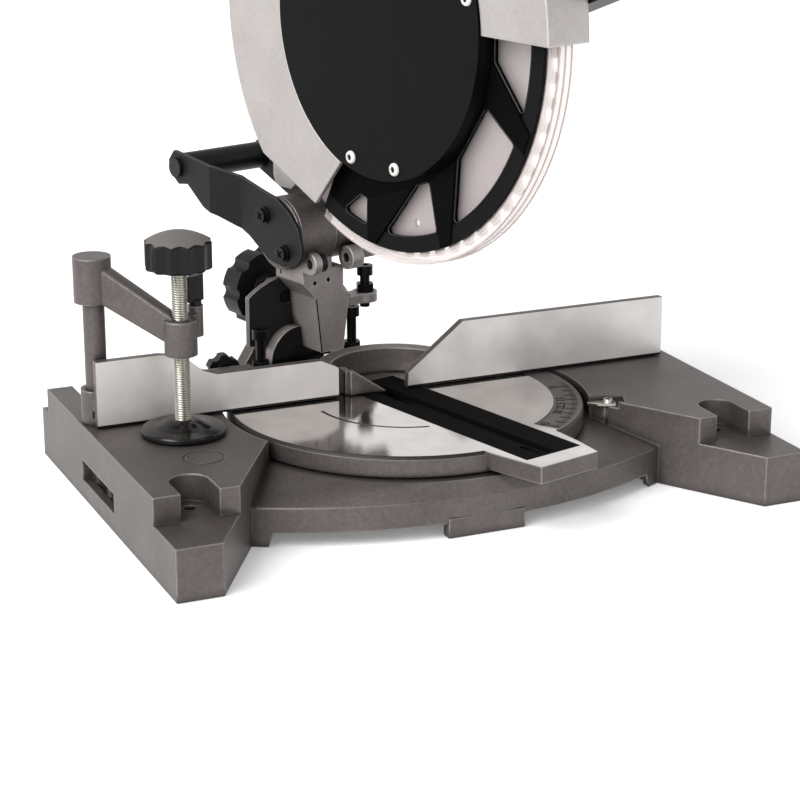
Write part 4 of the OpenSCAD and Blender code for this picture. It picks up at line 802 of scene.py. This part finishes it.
# %% Clamp knob
FLUTES, FLUTE_DEPTH, FLUTE_SOFTNESS = 12, 2.4 * MM, 0.02
KNOB_STEPS, CROWN_RINGS = 240, 10
CROWN_RISE = 8.0 * MM
KNOB_EDGE = 1.2 * MM
SEAM_SHARE, CROWN_SHARE = 0.97, 0.985
knob_low, knob_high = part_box("clamp_knob")
KNOB_R = (knob_high.x - knob_low.x) / 2
KNOB_AXIS = (knob_low + knob_high) / 2


def knob_ring(shape, share, level=None, trim=0.0):
    """A fluted ring of points, on the dome unless a level is given."""
    ring = []
    for step in range(KNOB_STEPS):
        around = 2 * math.pi * step / KNOB_STEPS
        flute = math.sqrt(math.sin(around * FLUTES / 2) ** 2 + FLUTE_SOFTNESS)
        reach = (KNOB_R - FLUTE_DEPTH * flute - trim) * share
        dome = knob_high.z - CROWN_RISE * (reach / KNOB_R) ** 2
        spot = (KNOB_AXIS.x + reach * math.cos(around), KNOB_AXIS.y + reach * math.sin(around),
                dome if level is None else level)
        ring.append(shape.verts.new(spot))
    return ring


grip = bmesh.new()
seam = knob_high.z - CROWN_RISE - KNOB_EDGE
skin(grip, [knob_ring(grip, 1.0, knob_low.z, KNOB_EDGE), knob_ring(grip, 1.0, knob_low.z + KNOB_EDGE),
            knob_ring(grip, 1.0), knob_ring(grip, SEAM_SHARE, seam)])
knob_grip = piece("fluted_clamp_grip", grip, grip_nylon, "clamp_spindle", smooth=True)
# The crown's grey is a painted sheen.
crown = bmesh.new()
skin(crown, [knob_ring(crown, SEAM_SHARE, seam)]
     + [knob_ring(crown, CROWN_SHARE * (1 - ring / CROWN_RINGS)) for ring in range(CROWN_RINGS)])
piece("clamp_knob_crown", crown, crown_painted_sheen, "clamp_spindle", smooth=True)
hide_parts("clamp_knob")
print("knob with", FLUTES, "flutes")

# %% [markdown]
# The guard's clear shell is moulded with shallow rounded channels round its rim, which catch the
# light as bands. A copy of the CAD shell is cut across the rim in many places, and the points
# outside are drawn in by a wave. The walls and the fit stay where the CAD has them. Faces that
# look along the axis are the clear walls, and the rest are the frosted rim.

# %% Ribbed clear shell
SHELL_R, RIM_SKIN = 180.0, 0.3
RIB_PERIOD, RIB_DEPTH, CUTS = 5.833, 1.5, 36
SHELL_LEFT, SHELL_RIGHT = -6.5, 11.0
CUT_SNAP, WALL_FACING = 1e-7, 0.8
shell = bmesh.new()
shell.from_mesh(nodes["guard_shell"].data)
for cut in range(1, CUTS):
    across = SHELL_LEFT + (SHELL_RIGHT - SHELL_LEFT) * cut / CUTS
    bmesh.ops.bisect_plane(shell, geom=shell.verts[:] + shell.edges[:] + shell.faces[:], dist=CUT_SNAP,
                           plane_co=at_table(across, 0, 0), plane_no=ACROSS)
for vert in shell.verts:
    from_axis = vert.co - BLADE_AXIS
    across = from_axis.dot(ACROSS)
    spoke = from_axis - ACROSS * across
    if spoke.length > (SHELL_R - RIM_SKIN) * MM:
        phase = 2 * math.pi * (across / MM - SHELL_LEFT) / RIB_PERIOD
        vert.co -= spoke.normalized() * RIB_DEPTH * MM * (0.5 - 0.5 * math.cos(phase))
ribbed_shell = piece("ribbed_guard_shell", shell, clear_sheet, "guard", smooth=True)
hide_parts("guard_shell")
ribbed_shell.data.materials.append(frosted_sheet)
for face in ribbed_shell.data.polygons:
    face.material_index = 1 if abs(face.normal.dot(ACROSS)) < WALL_FACING else 0
print("shell has", len(ribbed_shell.data.polygons), "faces")

# %% [markdown]
# Dust settles in the channels and shows them as fine lines. A thin bead lies in each channel,
# below the crests, so the shell's fit in the upper guard stays as it is.

# %% Channel lines
CHANNELS, CHANNEL_BEAD, CHANNEL_LIFT, CHANNEL_STEPS = 3, 0.5, 0.2, 60
SHELL_FROM, SHELL_TO = math.radians(168), math.radians(294)
CHANNEL_R = SHELL_R - RIB_DEPTH + CHANNEL_LIFT
shell_angles = [SHELL_FROM + (SHELL_TO - SHELL_FROM) * step / CHANNEL_STEPS
                for step in range(CHANNEL_STEPS + 1)]
channels = bpy.data.curves.new("shell_channel_lines", "CURVE")
channels.dimensions = "3D"
channels.bevel_depth = CHANNEL_BEAD * MM
channels.bevel_resolution = 2
channels.materials.append(moulded("frosted_polycarbonate_channel", "#b5a5a0", "#c6b8b3", 0.5, 0.3))
for channel in range(CHANNELS):
    across = SHELL_LEFT + RIB_PERIOD * (channel + 0.5)
    spline = channels.splines.new("POLY")
    spline.points.add(CHANNEL_STEPS)
    for point, angle in zip(spline.points, shell_angles):
        point.co = (*at_blade(across, CHANNEL_R, angle), 1.0)
channel_lines = bpy.data.objects.new("shell_channel_lines", channels)
bpy.context.scene.collection.objects.link(channel_lines)
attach(channel_lines, "guard")
print(CHANNELS, "channel lines laid")

# %% [markdown]
# Outside the black ring the shell's flat wall carries fine concentric ridges. They are one band,
# seated a little into the wall: a closed profile across the ridges is swept round the blade's axis.

# %% Shell ridges
RIDGE_IN, RIDGE_OUT, RIDGES, RIDGE_RISE = 171.0, 179.4, 3, 0.5
RIDGE_SEAT, RIDGE_BASE = 0.05, 0.1
PROFILE_STEPS = 24
profile = [(RIDGE_IN, SHELL_LEFT + RIDGE_SEAT)]
for step in range(PROFILE_STEPS + 1):
    share = step / PROFILE_STEPS
    wave = 0.5 - 0.5 * math.cos(2 * math.pi * RIDGES * share)
    profile.append((RIDGE_IN + (RIDGE_OUT - RIDGE_IN) * share, SHELL_LEFT - RIDGE_BASE - RIDGE_RISE * wave))
profile.append((RIDGE_OUT, SHELL_LEFT + RIDGE_SEAT))
ridges = bmesh.new()
skin(ridges, [[ridges.verts.new(at_blade(across, reach, angle)) for reach, across in profile]
              for angle in shell_angles])
piece("guard_shell_ridges", ridges, frosted_sheet, "guard", smooth=True)
print(RIDGES, "ridges swept")

# %% [markdown]
# The spokes of the black frame stand proud of its ring and run out across it. Each rib follows
# the straight sides of the two windows beside it, a little inside them, and has sloping flanks.

# %% Spoke ribs
RIB_INSET, RIB_FLANK, RIB_RISE, RIB_SEAT = 1.3, 0.9, 1.6, 0.05
RIB_END_R, REACH_STEP = 169.2, 0.002
FRAME_FACE_U = -9.5
RIB_ROWS = 8
# Sides of the windows left and right of each spoke: radius and angle at the hub and at the ring
SPOKES = [((121, 187), (158, 198), (121, 203), (158, 206)),
          ((121, 227.5), (158, 240.5), (121, 245.5), (158, 248)),
          ((121, 253), (158, 270.5), (137, 279.5), (158, 278.5))]
spoke_nylon = moulded("moulded_deep_black_guard_nylon", "#040404", "#070707", 0.5, 0.02)


def polar(spot):
    """A point in the blade's plane from its radius and its angle in degrees."""
    return Vector((math.cos(math.radians(spot[1])), math.sin(math.radians(spot[1])))) * spot[0]


def along_side(inner, outer, share):
    """A point on a window's side, carried on to the edge of the ring."""
    start, way = polar(inner), polar(outer) - polar(inner)
    reach = 1.0
    while (start + way * reach).length < RIB_END_R:
        reach += REACH_STEP
    return start + way * reach * share


ribs = bmesh.new()
for left_in, left_out, right_in, right_out in SPOKES:
    sections = []
    for row in range(RIB_ROWS + 1):
        left = along_side(left_in, left_out, row / RIB_ROWS)
        right = along_side(right_in, right_out, row / RIB_ROWS)
        way = (right - left).normalized()
        foot, top = way * RIB_INSET, way * (RIB_INSET + RIB_FLANK)
        corners = ((left + foot, RIB_SEAT), (left + top, -RIB_RISE),
                   (right - top, -RIB_RISE), (right - foot, RIB_SEAT))
        sections.append([ribs.verts.new(at_table(FRAME_FACE_U + lift, BLADE_V + spot.x, BLADE_Z + spot.y))
                         for spot, lift in corners])
    skin(ribs, sections)
piece("guard_spoke_ribs", ribs, spoke_nylon, "guard")
print("ribs on", len(SPOKES), "spokes")

# %% [markdown]
# The blade's teeth are tipped with small blocks of carbide, brazed to the face of each tooth.
# They show through the clear guard as a row of paler points.

# %% Carbide tips
BLADE_R, TEETH = 175.0, 60
TIP_LEAD, TIP_DEEP, TIP_SIZE = 0.04, 3.6, (3.3, 6.6, 2.0)
tips = bmesh.new()
for tooth in range(TEETH):
    angle = 2 * math.pi * (tooth + TIP_LEAD) / TEETH
    box_into(tips, at_blade(0, BLADE_R - TIP_DEEP, angle), TIP_SIZE,
             TABLE_TURN @ Matrix.Rotation(angle, 4, "X"))
piece("carbide_tips", tips, carbide, "blade")
print(TEETH, "tips brazed")

# %% [markdown]
# The pan screws that hold the handle plate to the hinge have cross recesses. Each is drawn as a
# dark cross that stands just proud of its head, as on the pointer: painted shade for the recess.

# %% Cross recesses
PLATE_SCREW_SPREAD, PLATE_HEAD_U = 13.0, -29.0
PLATE_CROSS = (0.3, 7.0, 1.7)
# The dark crosses are painted shade for the recesses.
plate_cross = bmesh.new()
for way in (-PLATE_SCREW_SPREAD, PLATE_SCREW_SPREAD):
    for turn in CROSS_TURNS:
        box_into(plate_cross, at_table(PLATE_HEAD_U, HINGE_V + way, HINGE_Z + way), PLATE_CROSS,
                 TABLE_TURN @ Matrix.Rotation(turn, 4, "X"))
piece("plate_screw_cross", plate_cross, insert_abs, "column")
print("cross recesses made")

# %% [markdown]
# A short black index line is stamped on the side of the column's block, and a fine dark line of
# painted shade runs down the neck's front corner.

# %% Column marks
BLOCK_SIDE_U, COLUMN_FRONT_V = -13.0, 112.0
INDEX_V, INDEX_Z, INDEX_SIZE = 141.9, 74.2, (0.3, 1.2, 5.5)
SHADE_LINE_TOP_Z, SHADE_LINE_FOOT_Z, SHADE_LINE_DRIFT, SHADE_LINE_WIDE = 54.2, 9.3, 4.97, 0.8
index_line = bmesh.new()
box_into(index_line, at_table(BLOCK_SIDE_U, INDEX_V, INDEX_Z), INDEX_SIZE, TABLE_TURN)
piece("bevel_index_line", index_line, insert_abs, "column")
# A thin dark box along the neck's front corner: a painted shade line.
shade_line_top = at_table(0, COLUMN_FRONT_V, SHADE_LINE_TOP_Z)
shade_line_foot = at_table(SHADE_LINE_DRIFT, COLUMN_FRONT_V, SHADE_LINE_FOOT_Z)
lean = math.atan2(SHADE_LINE_DRIFT, SHADE_LINE_TOP_Z - SHADE_LINE_FOOT_Z)
edge_shade_line = bmesh.new()
box_into(edge_shade_line, (shade_line_top + shade_line_foot) / 2, (SHADE_LINE_WIDE, SHADE_LINE_WIDE, (shade_line_top - shade_line_foot).length / MM),
         TABLE_TURN @ Matrix.Rotation(-lean, 4, "Y"))
piece("column_painted_shade_line", edge_shade_line, black_steel, "column")
print("column marked")

# %% [markdown]
# Six white pan-head screws hold the hub cover. The CAD heads are plain discs, so domed heads with
# a hexagon socket replace them: rings of points run from the socket's floor up its wall, over
# the dome and down to the cover. A dark plug on the floor is painted shade that gives the socket its depth.

# %% Hub screws
HUB_SCREW_R, HUB_FACE_U = 107.0, -21.0
HUB_SCREW_ANGLES = [turn + 120 * k for k in range(3) for turn in (-75, -103)]
HEAD_STEPS, SOCKET_SIDES = 36, 6
SOCKET = 2.3
# Share of the socket's size, whether six-sided, and height above the cover, for each ring
HEAD_RINGS = [(0.9, True, 1.2), (1.0, True, 1.3), (1.0, True, 2.35), (1.12, False, 2.5),
              (1.55, False, 2.35), (1.9, False, 1.9), (2.1, False, 1.2), (2.12, False, -0.2)]
PLUG_RINGS = [(1.1, False, 1.5), (1.0, False, 1.1)]


def screw_ring(shape, degree, steps, share, hexagon, proud):
    """A ring of points round one screw's axis."""
    angle = math.radians(degree)
    rearward = BLADE_V + HUB_SCREW_R * math.cos(angle)
    above = BLADE_Z + HUB_SCREW_R * math.sin(angle)
    ring = []
    for step in range(steps):
        turn = 2 * math.pi * step / steps
        corner = math.cos((turn % (math.pi / 3)) - math.pi / 6) if hexagon else 1.0
        reach = SOCKET * share / corner
        spot = at_table(HUB_FACE_U - proud, rearward + reach * math.cos(turn), above + reach * math.sin(turn))
        ring.append(shape.verts.new(spot))
    return ring


screws = bmesh.new()
sockets = bmesh.new()
for degree in HUB_SCREW_ANGLES:
    skin(screws, [screw_ring(screws, degree, HEAD_STEPS, *ring) for ring in HEAD_RINGS])
    skin(sockets, [screw_ring(sockets, degree, SOCKET_SIDES, *ring) for ring in PLUG_RINGS])
hub_screws = piece("hub_pan_screws", screws, white_nylon, "guard", smooth=True)
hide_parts("guard_screws")
# The black plug is painted shade at the floor of each socket.
piece("hub_screw_sockets", sockets, black_steel, "guard")
print(len(HUB_SCREW_ANGLES), "hub screws made")

# %% [markdown]
# The spokes of the guard frame have a raised lip along each window, which stiffens the moulding.
# The outline of each window is read from the frame's outer face, and a round bead follows it.

# %% Window lips
LIP_R = 0.7
WINDOW_IN_R, WINDOW_OUT_R = 118.0, 158.5
WELD, FACE_SNAP = 1e-6, 2e-5
lips = bpy.data.curves.new("guard_window_lips", "CURVE")
lips.dimensions = "3D"
lips.bevel_depth = LIP_R * MM
lips.bevel_resolution = 3
lips.materials.append(moulded("moulded_glossy_guard_nylon", "#060606", "#0a0a0a", 0.22, 0.35))
outline = bmesh.new()
outline.from_mesh(nodes["guard_frame"].data)
bmesh.ops.remove_doubles(outline, verts=outline.verts, dist=WELD)


def on_face(vert):
    """True where a point lies on the frame's outer face."""
    return abs((vert.co - BLADE_AXIS).dot(ACROSS) - FRAME_FACE_U * MM) < FACE_SNAP


def is_rim(edge):
    """True where an edge parts the outer face from a wall."""
    flat = [abs(face.normal.dot(ACROSS)) > ALIGNED for face in edge.link_faces]
    return all(on_face(vert) for vert in edge.verts) and len(flat) == 2 and flat[0] != flat[1]


rim_edges = {edge for edge in outline.edges if is_rim(edge)}
window_count = 0
while rim_edges:
    edge = rim_edges.pop()
    loop = [edge.verts[0], edge.verts[1]]
    while True:
        onward = [e for e in loop[-1].link_edges if e in rim_edges]
        if not onward:
            break
        rim_edges.discard(onward[0])
        loop.append(onward[0].other_vert(loop[-1]))
    offsets = [vert.co - BLADE_AXIS for vert in loop]
    reach = [(offset - ACROSS * offset.dot(ACROSS)).length for offset in offsets]
    if max(reach) < WINDOW_OUT_R * MM and min(reach) > WINDOW_IN_R * MM:
        spline = lips.splines.new("POLY")
        spline.points.add(len(loop) - 2)
        for point, vert in zip(spline.points, loop):
            point.co = (*vert.co, 1.0)
        spline.use_cyclic_u = True
        window_count += 1
outline.free()
lip_beads = bpy.data.objects.new("guard_window_lips", lips)
bpy.context.scene.collection.objects.link(lip_beads)
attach(lip_beads, "guard")
print("lips on", window_count, "windows")
